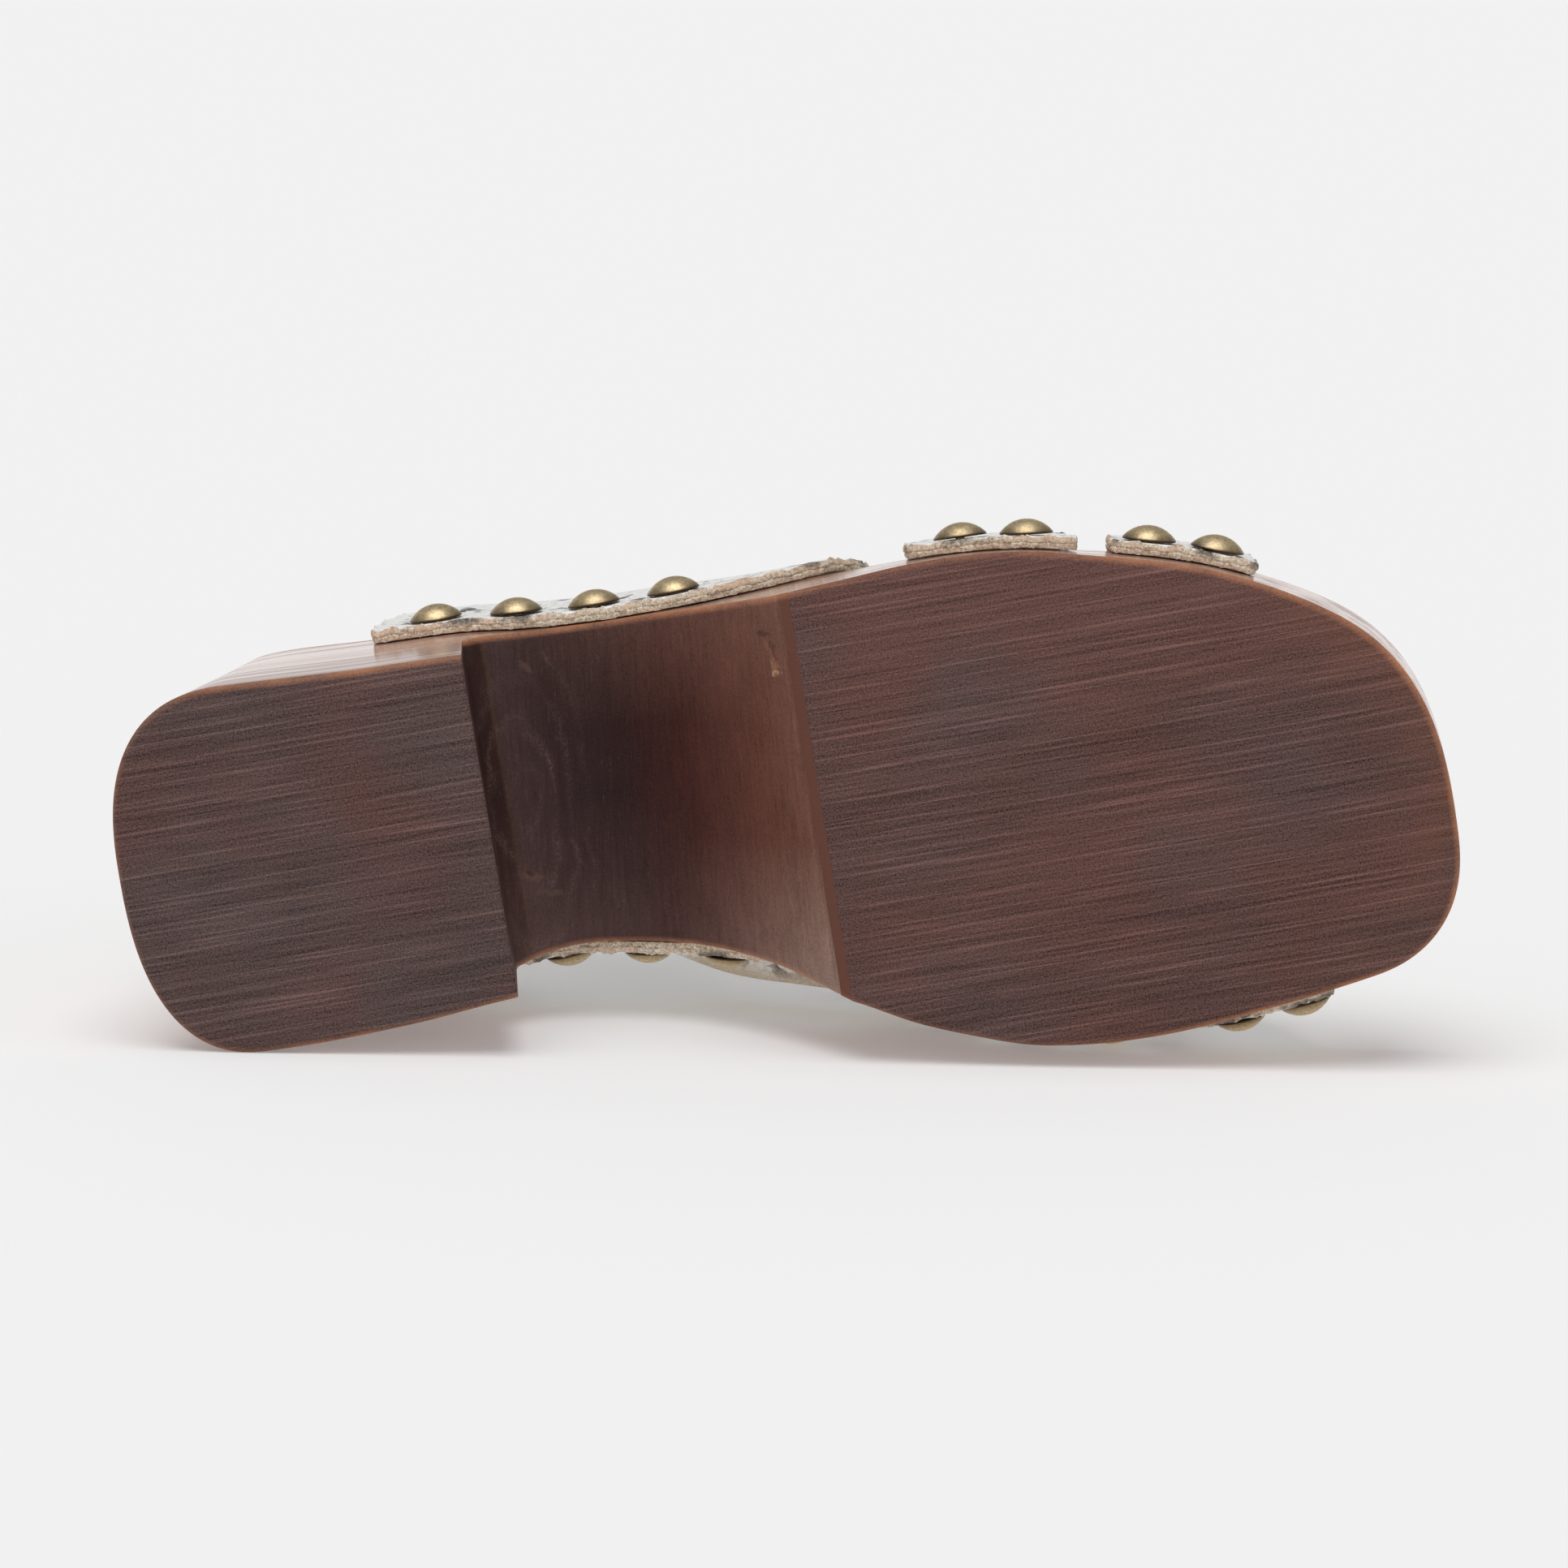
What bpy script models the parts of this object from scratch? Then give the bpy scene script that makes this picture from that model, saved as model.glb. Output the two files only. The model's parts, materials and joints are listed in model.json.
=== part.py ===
"""Right sandal with a carved wooden sole, three nailed leather straps and domed nails.

The shoe is worked out in its own frame, in millimetres: x from heel to toe, y to the inner side of the
foot, z up from the tread. It is then laid on its inner side, with the tread facing -Y.
"""
import math

import bmesh
import bpy
import numpy as np
from mathutils import Matrix, Vector

METRE = 0.001

# Sole, sizes in millimetres
SOLE_LENGTH = 250.0
STATION_SKEW = 0.044        # breast and forefoot edges lie askew: forward on the inner side, per mm of y
BREAST_STATION = 69.1       # foot of the breast, before the undercut pushes the tread's edge forward
BREAST_SLANT = 0.3          # length of the breast along the stations
BREAST_HEIGHT = 28.0
BREAST_UNDERCUT = 1.4       # the tread's edge stands this far in front of the top of the breast
UNDERCUT_START = 40.0       # the undercut grows from this station on
FOREFOOT_STATION = 132.7    # rear edge of the forefoot's tread
FOREFOOT_STEP = 2.0         # bevel behind that edge, as wide as it is high
TOE_SPRING = 3.0
TOE_SPRING_START = 214.0
EDGE_BEVEL = 1.2
BACK_LEAN = 0.235           # the back of the heel leans forward, per mm of height
BACK_LEAN_REACH = 55.0      # that lean fades out this far from the back
TOE_FLARE = 0.1             # the toe's wall leans forward, per mm of height
TOE_FLARE_REACH = 60.0
RIM_WIDTH = 4.0             # wooden lip round the dished footbed
HEEL_END_Y = 0.0            # middle of the heel's back
TOE_END_Y = 18.0            # foremost point of the toe, on the inner side
HEEL_ROUND = {"inner": (22.0, 2.5), "outer": (26.0, 2.5)}   # reach of the rounding, fullness
TOE_ROUND = {"inner": (20.0, 2.6), "outer": (82.0, 2.5)}
END_FLAT = 0.35             # the rounding is cut off this far from its tip

# Cross sections of the sole: how many, and where they crowd
HEEL_END = 24.0             # round end with closer sections
TOE_END = 26.0
END_SECTIONS = 9
SEAT_SECTIONS = 5
ARCH_SECTIONS = 15
ARCH_CROWDING = 1.4
FOREFOOT_SECTIONS = 14
LIP_SHARE = 0.2             # the footbed's lip takes at most this share of the width
TREAD_SHARES = (0.0, 0.33, 0.67, 1.0)
BED_SHARES = (-1.0, -0.75, -0.4, 0.0, 0.4, 0.75, 1.0)

# Side lines of the tread before the ends are rounded, and how far the walls lean in per mm of height
SIDE_COLUMNS = ("station", "inner", "outer", "inner_lean", "outer_lean")
SIDES = (
    (0.0, 35.2, 34.2, 0.0, 0.07),
    (30.0, 35.2, 34.3, 0.0, 0.025),
    (50.0, 33.5, 34.4, 0.01, 0.02),
    (70.5, 30.6, 34.9, 0.03, 0.016),
    (80.0, 29.9, 34.5, 0.045, 0.016),
    (95.0, 30.8, 35.0, 0.05, 0.022),
    (110.0, 32.4, 36.5, 0.055, 0.03),
    (125.0, 35.9, 38.6, 0.065, 0.05),
    (133.0, 39.0, 39.8, 0.075, 0.06),
    (144.0, 44.4, 41.1, 0.085, 0.067),
    (154.0, 48.0, 42.3, 0.09, 0.076),
    (164.0, 50.9, 42.9, 0.095, 0.08),
    (176.0, 52.2, 42.6, 0.09, 0.08),
    (190.0, 51.9, 41.0, 0.03, 0.06),
    (210.0, 49.1, 39.9, -0.03, 0.03),
    (230.0, 45.4, 39.8, -0.03, 0.0),
    (250.0, 41.0, 44.0, -0.03, -0.05),
)

# Height of the rim above the tread, and depth of the footbed below the rim
FOOTBED_COLUMNS = ("station", "rim", "dish")
FOOTBED = (
    (0.0, 66.0, 3.5),
    (30.0, 64.5, 4.5),
    (60.0, 60.0, 4.0),
    (90.0, 53.0, 3.0),
    (120.0, 44.0, 2.5),
    (150.0, 36.0, 2.5),
    (180.0, 30.0, 2.5),
    (210.0, 25.5, 2.0),
    (250.0, 24.5, 1.0),
)

# Underside of the waist between the breast and the forefoot
ARCH_COLUMNS = ("station", "height")
ARCH = (
    (BREAST_STATION + BREAST_SLANT, BREAST_HEIGHT),
    (73.4, 33.0),
    (78.0, 35.2),
    (84.0, 36.5),
    (90.0, 36.6),
    (98.0, 34.8),
    (108.0, 28.8),
    (119.0, 17.8),
    (FOREFOOT_STATION - FOREFOOT_STEP, FOREFOOT_STEP),
)

# Foot under the straps: top line, place of the ridge, and how far the sides swell past the walls
FOOT_COLUMNS = ("station", "top", "ridge", "inner_swell", "outer_swell")
FOOT = (
    (45.0, 128.0, 3.0, 0.0, 0.0),
    (75.0, 122.0, 4.0, 0.0, 0.0),
    (95.0, 115.0, 5.0, 2.6, 0.0),
    (110.0, 107.0, 6.0, 7.9, -0.2),
    (125.0, 97.5, 7.0, 8.0, -0.8),
    (140.0, 88.0, 8.0, 5.0, -1.8),
    (155.0, 79.0, 8.5, 1.5, -0.6),
    (170.0, 70.0, 9.0, 0.0, 0.0),
    (185.0, 62.0, 9.0, 0.0, 0.0),
    (200.0, 55.0, 9.0, 0.0, 0.0),
    (215.0, 49.5, 9.0, 0.0, 0.0),
    (230.0, 45.0, 9.0, 0.0, 0.0),
)
FOOT_FULLNESS = 2.3
SWELL_REACH = {"inner": 0.12, "outer": 0.3}     # share of the rise over which a side swells out

# Straps
STRAP_THICKNESS = 2.5
STRAP_DROP = 14.0           # lower edge below the rim
SEAT_GAP = 0.3
WALL_SHARE = 0.1            # share of a strap's run that lies on each wall
REAR_UPRIGHT = 0.06         # share of the run over which a rear edge stands upright
STRAP_COLUMNS = (
    "name", "rear_inner", "rear_top", "rear_outer", "front_inner", "front_top", "front_outer",
    "sweep_inner", "sweep_outer", "corner",
)
STRAPS = (
    ("instep_band", 50.0, 98.0, 51.2, 114.0, 150.0, 114.0, 4.0, 3.5, 0.0),
    ("ball_strap", 158.0, 162.5, 156.2, 190.5, 184.5, 188.3, 2.0, 2.0, 4.0),
    ("toe_strap", 196.5, 197.0, 194.2, 223.5, 217.5, 219.9, 2.0, 2.0, 4.0),
)
STEPS_OVER_FOOT = 40
STEP_ALONG_FOOT = 6.5

# Domed nails
STUD_RADIUS = 5.1
STUD_HEIGHT = 2.9
STUD_LIP = 0.4
SHANK_RADIUS = 0.9
SHANK_IN_WOOD = 9.0
SHANK_TIP = 1.5
STUD_SEGMENTS = 12
DOME_RINGS = 5
HOLE_SEGMENTS = 8
NAIL_HOLE_RADIUS = SHANK_RADIUS + SEAT_GAP
STUD_RISE = 6.2             # nail above the strap's lower edge
STUD_ROWS = {
    "band": {"inner": (63.5, 79.2, 95.0, 110.5), "outer": (63.7, 79.4, 95.0, 110.8)},
    "ball": {"inner": (168.5, 181.0), "outer": (166.5, 178.7)},
    "toe": {"inner": (205.0, 217.0), "outer": (200.8, 212.6)},
}

# Finishes, with the density in kilograms per cubic metre
FINISH_COLUMNS = ("colour", "roughness", "metallic", "density")
FINISHES = {
    "stained_wood": ((0.11, 0.060, 0.045), 0.55, 0.0, 520.0),
    "mottled_leather": ((0.75, 0.70, 0.62), 0.6, 0.0, 900.0),
    "antique_brass": ((0.36, 0.27, 0.16), 0.4, 1.0, 7800.0),
}
SHARP_ANGLE = math.radians(35.0)
INNER_FACING = 0.7          # a face whose normal has at least this much y looks to the inner side


def column_of(table, columns, name):
    """One named column of a table as an array."""
    return np.array([row[columns.index(name)] for row in table])


def along(table, columns, name, station):
    """Smooth curve through a named column: cubic pieces whose slopes are central differences."""
    xs = column_of(table, columns, "station")
    ys = column_of(table, columns, name)
    slopes = np.gradient(ys, xs)
    station = np.clip(np.asarray(station, float), xs[0], xs[-1])
    i = np.clip(np.searchsorted(xs, station, side="right") - 1, 0, len(xs) - 2)
    step = xs[i + 1] - xs[i]
    t = (station - xs[i]) / step
    start = ys[i] * (1 + 2 * t) * (1 - t) ** 2 + slopes[i] * step * t * (1 - t) ** 2
    end = ys[i + 1] * t * t * (3 - 2 * t) + slopes[i + 1] * step * t * t * (t - 1)
    return start + end


def round_end(distance, reach, fullness):
    """Share of the full half width at a distance from the tip of a superelliptic end."""
    inward = np.clip(1.0 - np.maximum(distance, END_FLAT) / reach, 0.0, 1.0)
    return (1.0 - inward ** fullness) ** (1.0 / fullness)


def side_line(side, station):
    """Signed y of the tread's edge on one side, with the heel and toe rounded off."""
    sign = 1.0 if side == "inner" else -1.0
    y = sign * along(SIDES, SIDE_COLUMNS, side, station)
    y = HEEL_END_Y + (y - HEEL_END_Y) * round_end(station, *HEEL_ROUND[side])
    return TOE_END_Y + (y - TOE_END_Y) * round_end(SOLE_LENGTH - station, *TOE_ROUND[side])


def wall(side, station, z):
    """Signed y of the sole's side wall at a height above the tread."""
    sign = 1.0 if side == "inner" else -1.0
    return side_line(side, station) - sign * along(SIDES, SIDE_COLUMNS, side + "_lean", station) * z


def rim_height(station):
    return along(FOOTBED, FOOTBED_COLUMNS, "rim", station)


def under_height(station):
    """Underside of the sole: flat treads, slanted breast, arch, forefoot bevel and toe spring."""
    if station <= BREAST_STATION:
        return max(0.0, EDGE_BEVEL - station)
    if station < BREAST_STATION + BREAST_SLANT:
        return BREAST_HEIGHT * (station - BREAST_STATION) / BREAST_SLANT
    if station < FOREFOOT_STATION - FOREFOOT_STEP:
        return float(along(ARCH, ARCH_COLUMNS, "height", station))
    bevel = max(0.0, FOREFOOT_STATION - station, EDGE_BEVEL - (SOLE_LENGTH - station))
    spring = max(0.0, station - TOE_SPRING_START) / (SOLE_LENGTH - TOE_SPRING_START)
    return bevel + TOE_SPRING * spring ** 2


def sole_stations():
    """Stations along the sole, closer together at both round ends and behind the breast."""
    quarter = np.linspace(0.0, math.pi / 2, END_SECTIONS)
    heel = HEEL_END * (1 - np.cos(quarter))
    seat = np.linspace(HEEL_END, BREAST_STATION, SEAT_SECTIONS)[1:]
    arch_start = BREAST_STATION + BREAST_SLANT
    arch_end = FOREFOOT_STATION - FOREFOOT_STEP
    arch = arch_start + (arch_end - arch_start) * np.linspace(0.0, 1.0, ARCH_SECTIONS) ** ARCH_CROWDING
    forefoot = np.linspace(FOREFOOT_STATION, SOLE_LENGTH - TOE_END, FOREFOOT_SECTIONS)
    toe = SOLE_LENGTH - TOE_END * (1 - np.cos(quarter[::-1]))
    return np.concatenate([heel, seat, arch, forefoot, toe[1:]])


def sole_section(station):
    """One cross section of the sole as (y, z) corners, round from the inner edge of the tread."""
    low = under_height(station)
    end = min(station, SOLE_LENGTH - station)
    rim = float(rim_height(station)) - max(0.0, EDGE_BEVEL - end)
    dish = float(along(FOOTBED, FOOTBED_COLUMNS, "dish", station)) * min(1.0, end / RIM_WIDTH)
    inner = [float(wall("inner", station, z)) for z in (low, low + EDGE_BEVEL, rim - EDGE_BEVEL)]
    outer = [float(wall("outer", station, z)) for z in (low, low + EDGE_BEVEL, rim - EDGE_BEVEL)]
    width = inner[0] - outer[0]
    tread = [(inner[0] - EDGE_BEVEL - f * (width - 2 * EDGE_BEVEL), low) for f in TREAD_SHARES]
    lip = min(RIM_WIDTH, LIP_SHARE * width)
    bed_inner, bed_outer = inner[2] - lip, outer[2] + lip
    middle, half = (bed_inner + bed_outer) / 2, (bed_inner - bed_outer) / 2
    bed = [(middle + f * half, rim - dish * (1 - f * f)) for f in BED_SHARES]
    outer_side = [(outer[1], low + EDGE_BEVEL), (outer[2], rim - EDGE_BEVEL), (outer[2] + EDGE_BEVEL, rim)]
    inner_side = [(inner[2] - EDGE_BEVEL, rim), (inner[2], rim - EDGE_BEVEL), (inner[1], low + EDGE_BEVEL)]
    return tread + outer_side + bed + inner_side


def place(station, y, z):
    """Point of the shoe for a station, with the skew, the lean of both ends and the undercut breast put in."""
    back = np.clip(1 - station / BACK_LEAN_REACH, 0.0, 1.0) ** 2
    toe = np.clip(1 - (SOLE_LENGTH - station) / TOE_FLARE_REACH, 0.0, 1.0)
    x = station + STATION_SKEW * y + (BACK_LEAN * back + TOE_FLARE * toe) * z
    grown = np.clip((station - UNDERCUT_START) / (BREAST_STATION - UNDERCUT_START), 0.0, 1.0) ** 2
    undercut = np.where(station <= BREAST_STATION, BREAST_UNDERCUT * grown, 0.0)
    x = x + undercut * np.clip(1 - z / BREAST_HEIGHT, 0.0, 1.0)
    return np.stack(np.broadcast_arrays(x, y, z), axis=-1)


def loft(sections):
    """Closed surface through equal rings of points, with both ends capped."""
    count = sections.shape[1]
    faces = []
    for i in range(len(sections) - 1):
        for j in range(count):
            k = (j + 1) % count
            faces.append((i * count + j, i * count + k, (i + 1) * count + k, (i + 1) * count + j))
    faces.append(tuple(range(count))[::-1])
    last = (len(sections) - 1) * count
    faces.append(tuple(range(last, last + count)))
    return sections.reshape(-1, 3), faces


def foot_point(station, q):
    """Point on the foot's skin: up the inner wall, over the foot and down the outer wall as q goes 0 to 1.

    On a wall the point is the wall moved out by the seat gap. Over the foot it is a superellipse from rim to
    rim, y = half width * cos^(2/n) and z = rim + rise * sin^(2/n), swollen at the sides.
    """
    rim = rim_height(station)
    inner = wall("inner", station, rim) + SEAT_GAP
    outer = wall("outer", station, rim) - SEAT_GAP
    turn = math.pi * np.clip((q - WALL_SHARE) / (1 - 2 * WALL_SHARE), 0.0, 1.0)
    power = 2.0 / FOOT_FULLNESS
    across = np.sign(np.cos(turn)) * np.abs(np.cos(turn)) ** power
    rise = np.abs(np.sin(turn)) ** power
    swell_in = along(FOOT, FOOT_COLUMNS, "inner_swell", station)
    swell_out = along(FOOT, FOOT_COLUMNS, "outer_swell", station)
    t = np.clip(rise / np.where(across > 0, SWELL_REACH["inner"], SWELL_REACH["outer"]), 0.0, 1.0)
    swell = np.where(across > 0, swell_in, swell_out) * t * t * (3 - 2 * t)
    middle = (inner + outer) / 2
    half = (inner - outer) / 2
    ridge = along(FOOT, FOOT_COLUMNS, "ridge", station)
    y = middle + across * (half + swell) + (ridge - middle) * rise * (1 - np.abs(across))
    z = rim + (along(FOOT, FOOT_COLUMNS, "top", station) - rim) * rise
    drop_in = STRAP_DROP * np.clip(1 - q / WALL_SHARE, 0.0, 1.0)
    drop_out = STRAP_DROP * np.clip(1 - (1 - q) / WALL_SHARE, 0.0, 1.0)
    y = np.where(drop_in > 0, wall("inner", station, rim - drop_in) + SEAT_GAP, y)
    y = np.where(drop_out > 0, wall("outer", station, rim - drop_out) - SEAT_GAP, y)
    return place(station, y, z - drop_in - drop_out)


def foot_normal(station, q):
    """Unit normal of the foot's skin, pointing away from the foot."""
    small_s, small_q = 0.2, 0.002
    q = np.clip(q, 2 * small_q, 1 - 2 * small_q)
    run = foot_point(station + small_s, q) - foot_point(station - small_s, q)
    turn = foot_point(station, q + small_q) - foot_point(station, q - small_q)
    normal = np.cross(turn, run)
    return normal / np.linalg.norm(normal, axis=-1, keepdims=True)


def rear_edge(inner, top, outer, q):
    """Station of a strap's rear edge: upright on the walls, then an S curve to its place at the top."""
    t = np.clip((np.minimum(q, 1 - q) - REAR_UPRIGHT) / (0.5 - REAR_UPRIGHT), 0.0, 1.0)
    base = np.where(q < 0.5, inner, outer)
    return base + (top - base) * t * t * (3 - 2 * t)


def front_edge(part, q):
    """Station of a strap's front edge: it leaves the wall at a slant and eases to its place at the top."""
    up = np.sin(math.pi * q)
    base = np.where(q < 0.5, part["front_inner"], part["front_outer"])
    sweep = np.where(q < 0.5, part["sweep_inner"], part["sweep_outer"])
    return part["front_top"] + (base - part["front_top"]) * (1 - up) ** sweep


def corner_cut(radius, q):
    """Rounding of a strap's lower corners: how far the edge draws in near either end of its run."""
    if radius == 0.0:
        return np.zeros_like(q)
    end = np.clip(np.minimum(q, 1 - q) / (WALL_SHARE * radius / STRAP_DROP), 0.0, 1.0)
    return radius * (1 - np.sqrt(1 - (1 - end) ** 2))


def strap_grid(row):
    """Stations and run values of a strap's grid, rear edge to front edge, inner wall to outer wall."""
    part = dict(zip(STRAP_COLUMNS, row))
    q = np.linspace(0.0, 1.0, STEPS_OVER_FOOT + 1)
    rear = rear_edge(part["rear_inner"], part["rear_top"], part["rear_outer"], q)
    front = front_edge(part, q)
    cut = corner_cut(part["corner"], q)
    steps = round((part["front_inner"] - part["rear_inner"]) / STEP_ALONG_FOOT)
    share = np.linspace(0.0, 1.0, steps + 1)
    station = (rear + cut)[:, None] * (1 - share) + (front - cut)[:, None] * share
    return station, np.broadcast_to(q[:, None], station.shape)


def strap_shell(row):
    """Closed wall of a strap: the foot's skin, the same skin moved out by the thickness, and its edges."""
    station, q = strap_grid(row)
    skin = foot_point(station, q)
    outside = skin + STRAP_THICKNESS * foot_normal(station, q)
    rings = np.concatenate([skin, outside[:, ::-1]], axis=1)
    return loft(rings)


def stud_profile():
    """Radius and height of a domed nail, from the top of the dome to the tip of the shank."""
    turn = np.linspace(math.pi / 2, 0.0, DOME_RINGS)
    dome_height = STUD_HEIGHT - STUD_LIP
    dome = [(STUD_RADIUS * math.cos(a), STUD_LIP + dome_height * math.sin(a)) for a in turn]
    shank = SEAT_GAP + STRAP_THICKNESS + SEAT_GAP + SHANK_IN_WOOD
    under = [(STUD_RADIUS, 0.0), (SHANK_RADIUS, 0.0), (SHANK_RADIUS, SHANK_TIP - shank), (0.0, -shank)]
    return dome + under


def turned(profile, segments):
    """Closed surface of revolution about z for a profile that starts and ends on the axis."""
    angle = np.linspace(0.0, 2 * math.pi, segments, endpoint=False)
    points = [(0.0, 0.0, profile[0][1])]
    for radius, height in profile[1:-1]:
        points += [(radius * math.cos(a), radius * math.sin(a), height) for a in angle]
    points.append((0.0, 0.0, profile[-1][1]))
    faces = []
    rings = len(profile) - 2
    for j in range(segments):
        k = (j + 1) % segments
        faces.append((0, 1 + j, 1 + k))
        for i in range(rings - 1):
            upper, lower = 1 + i * segments, 1 + (i + 1) * segments
            faces.append((upper + j, lower + j, lower + k, upper + k))
        last = 1 + (rings - 1) * segments
        faces.append((last + j, len(points) - 1, last + k))
    return np.array(points), faces


def stud_seat(station, side):
    """Where a nail's head sits on a strap, and the direction that it points out.

    The head clears the highest point of the strap under its rim by the seat gap.
    """
    rise = WALL_SHARE / STRAP_DROP
    turn = np.linspace(0.0, 2 * math.pi, STUD_SEGMENTS, endpoint=False)
    around = STUD_RADIUS * np.cos(turn), STUD_RADIUS * np.sin(turn)
    stations = station + np.append(0.0, around[0])
    heights = STUD_RISE + np.append(0.0, around[1])
    q = rise * heights if side == "inner" else 1.0 - rise * heights
    normals = foot_normal(stations, q)
    outside = foot_point(stations, q) + STRAP_THICKNESS * normals
    normal = normals[0]
    proud = ((outside - outside[0]) @ normal).max()
    return Vector(outside[0] + (SEAT_GAP + proud) * normal), Vector(normal)


def principled(name):
    """Material of a named finish."""
    finish = dict(zip(FINISH_COLUMNS, FINISHES[name]))
    material = bpy.data.materials.new(name)
    material.use_nodes = True
    shader = material.node_tree.nodes["Principled BSDF"]
    shader.inputs["Base Color"].default_value = (*finish["colour"], 1.0)
    shader.inputs["Roughness"].default_value = finish["roughness"]
    shader.inputs["Metallic"].default_value = finish["metallic"]
    material.diffuse_color = (*finish["colour"], 1.0)
    return material


def add_object(name, points, faces, material, parent):
    """Object from points in millimetres, with its faces turned outwards."""
    mesh = bpy.data.meshes.new(name)
    mesh.from_pydata([tuple(p) for p in np.asarray(points) * METRE], [], faces)
    work = bmesh.new()
    work.from_mesh(mesh)
    bmesh.ops.recalc_face_normals(work, faces=work.faces)
    work.to_mesh(mesh)
    work.free()
    mesh.shade_smooth()
    mesh.set_sharp_from_angle(angle=SHARP_ANGLE)
    mesh.materials.append(material)
    thing = bpy.data.objects.new(name, mesh)
    bpy.context.collection.objects.link(thing)
    thing.parent = parent
    return thing


def seat_matrix(seat, normal):
    """Place of a nail: its axis along the strap's normal, its head's underside on the seat."""
    turn = normal.to_track_quat("Z", "Y").to_matrix().to_4x4()
    return Matrix.Translation(seat * METRE) @ turn


def add_studs(material, parent):
    """Every nail, and the holes that their shanks pass through."""
    points, faces = turned(stud_profile(), STUD_SEGMENTS)
    reach = SEAT_GAP + STRAP_THICKNESS + SEAT_GAP + SHANK_IN_WOOD + SEAT_GAP
    bore = [(0.0, STUD_RADIUS), (NAIL_HOLE_RADIUS, STUD_RADIUS), (NAIL_HOLE_RADIUS, -reach), (0.0, -reach)]
    drill_points, drill_faces = turned(bore, HOLE_SEGMENTS)
    studs = []
    hole_points, hole_faces = [], []
    for row, sides in STUD_ROWS.items():
        for side, stations in sides.items():
            for number, station in enumerate(stations, start=1):
                matrix = seat_matrix(*stud_seat(station, side))
                stud = add_object(f"stud_{row}_{side}_{number}", points, faces, material, parent)
                stud.matrix_local = matrix
                studs.append(stud)
                start = len(hole_points)
                hole_points += [matrix @ Vector(p * METRE) / METRE for p in drill_points]
                hole_faces += [tuple(start + i for i in face) for face in drill_faces]
    drills = add_object("nail_holes", [tuple(p) for p in hole_points], hole_faces, material, parent)
    drills.hide_render = True
    drills.display_type = "WIRE"
    return studs, drills


def drill(thing, drills):
    cut = thing.modifiers.new("nail holes", "BOOLEAN")
    cut.operation = "DIFFERENCE"
    cut.solver = "EXACT"
    cut.object = drills


def mass_and_centre(things, density):
    """Mass and centre of mass of closed meshes, summed over the tetrahedra from the origin to each triangle."""
    mass, moment = 0.0, np.zeros(3)
    for thing in things:
        thing.data.calc_loop_triangles()
        points = np.array([thing.matrix_local @ v.co for v in thing.data.vertices])
        corners = points[np.array([t.vertices for t in thing.data.loop_triangles])]
        volume = np.einsum("ij,ij->i", corners[:, 0], np.cross(corners[:, 1], corners[:, 2])) / 6.0
        mass += density * volume.sum()
        moment += density * (volume[:, None] * corners.sum(axis=1) / 4.0).sum(axis=0)
    return mass, moment / mass


def resting_normal(things, centre):
    """Outward normal of the hull's face, on the inner side, that lies under the centre of mass."""
    work = bmesh.new()
    for thing in things:
        for vertex in thing.data.vertices:
            work.verts.new(thing.matrix_local @ vertex.co)
    hull = bmesh.ops.convex_hull(work, input=work.verts)
    faces = [f for f in hull["geom"] if isinstance(f, bmesh.types.BMFace) and f.normal.y > INNER_FACING]
    for face in faces:
        corners = [v.co for v in face.verts]
        turns = [(b - a).cross(centre - a).dot(face.normal) for a, b in zip(corners, corners[1:] + corners[:1])]
        if min(turns) >= 0:
            normal = face.normal.copy()
    work.free()
    return normal


def lie_down(parent, things, centre):
    """Turn the shoe so that its resting face is the floor and the tread looks along -Y, centred on the origin."""
    up = -resting_normal(things, centre)
    back = Vector((0.0, 0.0, 1.0))
    back = (back - up * back.dot(up)).normalized()
    right = back.cross(up)
    parent.matrix_world = Matrix((right, back, up)).to_4x4()
    bpy.context.view_layer.update()
    points = np.array([thing.matrix_world @ v.co for thing in things for v in thing.data.vertices])
    low, high = points.min(axis=0), points.max(axis=0)
    parent.location = (-(low[0] + high[0]) / 2, -(low[1] + high[1]) / 2, -low[2])


def main():
    for thing in list(bpy.data.objects):
        bpy.data.objects.remove(thing, do_unlink=True)
    wood = principled("stained_wood")
    leather = principled("mottled_leather")
    brass = principled("antique_brass")
    parent = bpy.data.objects.new("shoe", None)
    bpy.context.collection.objects.link(parent)

    sections = []
    for station in sole_stations():
        ring = np.array(sole_section(station))
        sections.append(place(station, ring[:, 0], ring[:, 1]))
    sole = add_object("wooden_sole", *loft(np.array(sections)), wood, parent)
    straps = [add_object(row[0], *strap_shell(row), leather, parent) for row in STRAPS]
    studs, drills = add_studs(brass, parent)
    for thing in [sole, *straps]:
        drill(thing, drills)
    bpy.context.view_layer.update()

    groups = {"stained_wood": [sole], "mottled_leather": straps, "antique_brass": studs}
    density = FINISH_COLUMNS.index("density")
    sums = [mass_and_centre(things, FINISHES[name][density]) for name, things in groups.items()]
    total = sum(mass for mass, _ in sums)
    centre = Vector(sum(mass * middle for mass, middle in sums) / total)
    lie_down(parent, [sole, *straps, *studs], centre)
    print("mass %.3f kg" % total)


main()
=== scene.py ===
# %% [markdown]
# # A sandal with a carved wooden sole
# The sandal lies on its inner side with its tread towards the camera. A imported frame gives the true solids.
# This lesson dresses them: a carved sole with worn edges, three leather straps with raw cut edges, and
# sixteen domed nails. Every new surface is worked out with numpy on a grid, and every finish is made of
# nodes.

# %% Load the frame
import json
import math

import bmesh
import bpy
import numpy as np
from mathutils import Matrix, Vector


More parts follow.
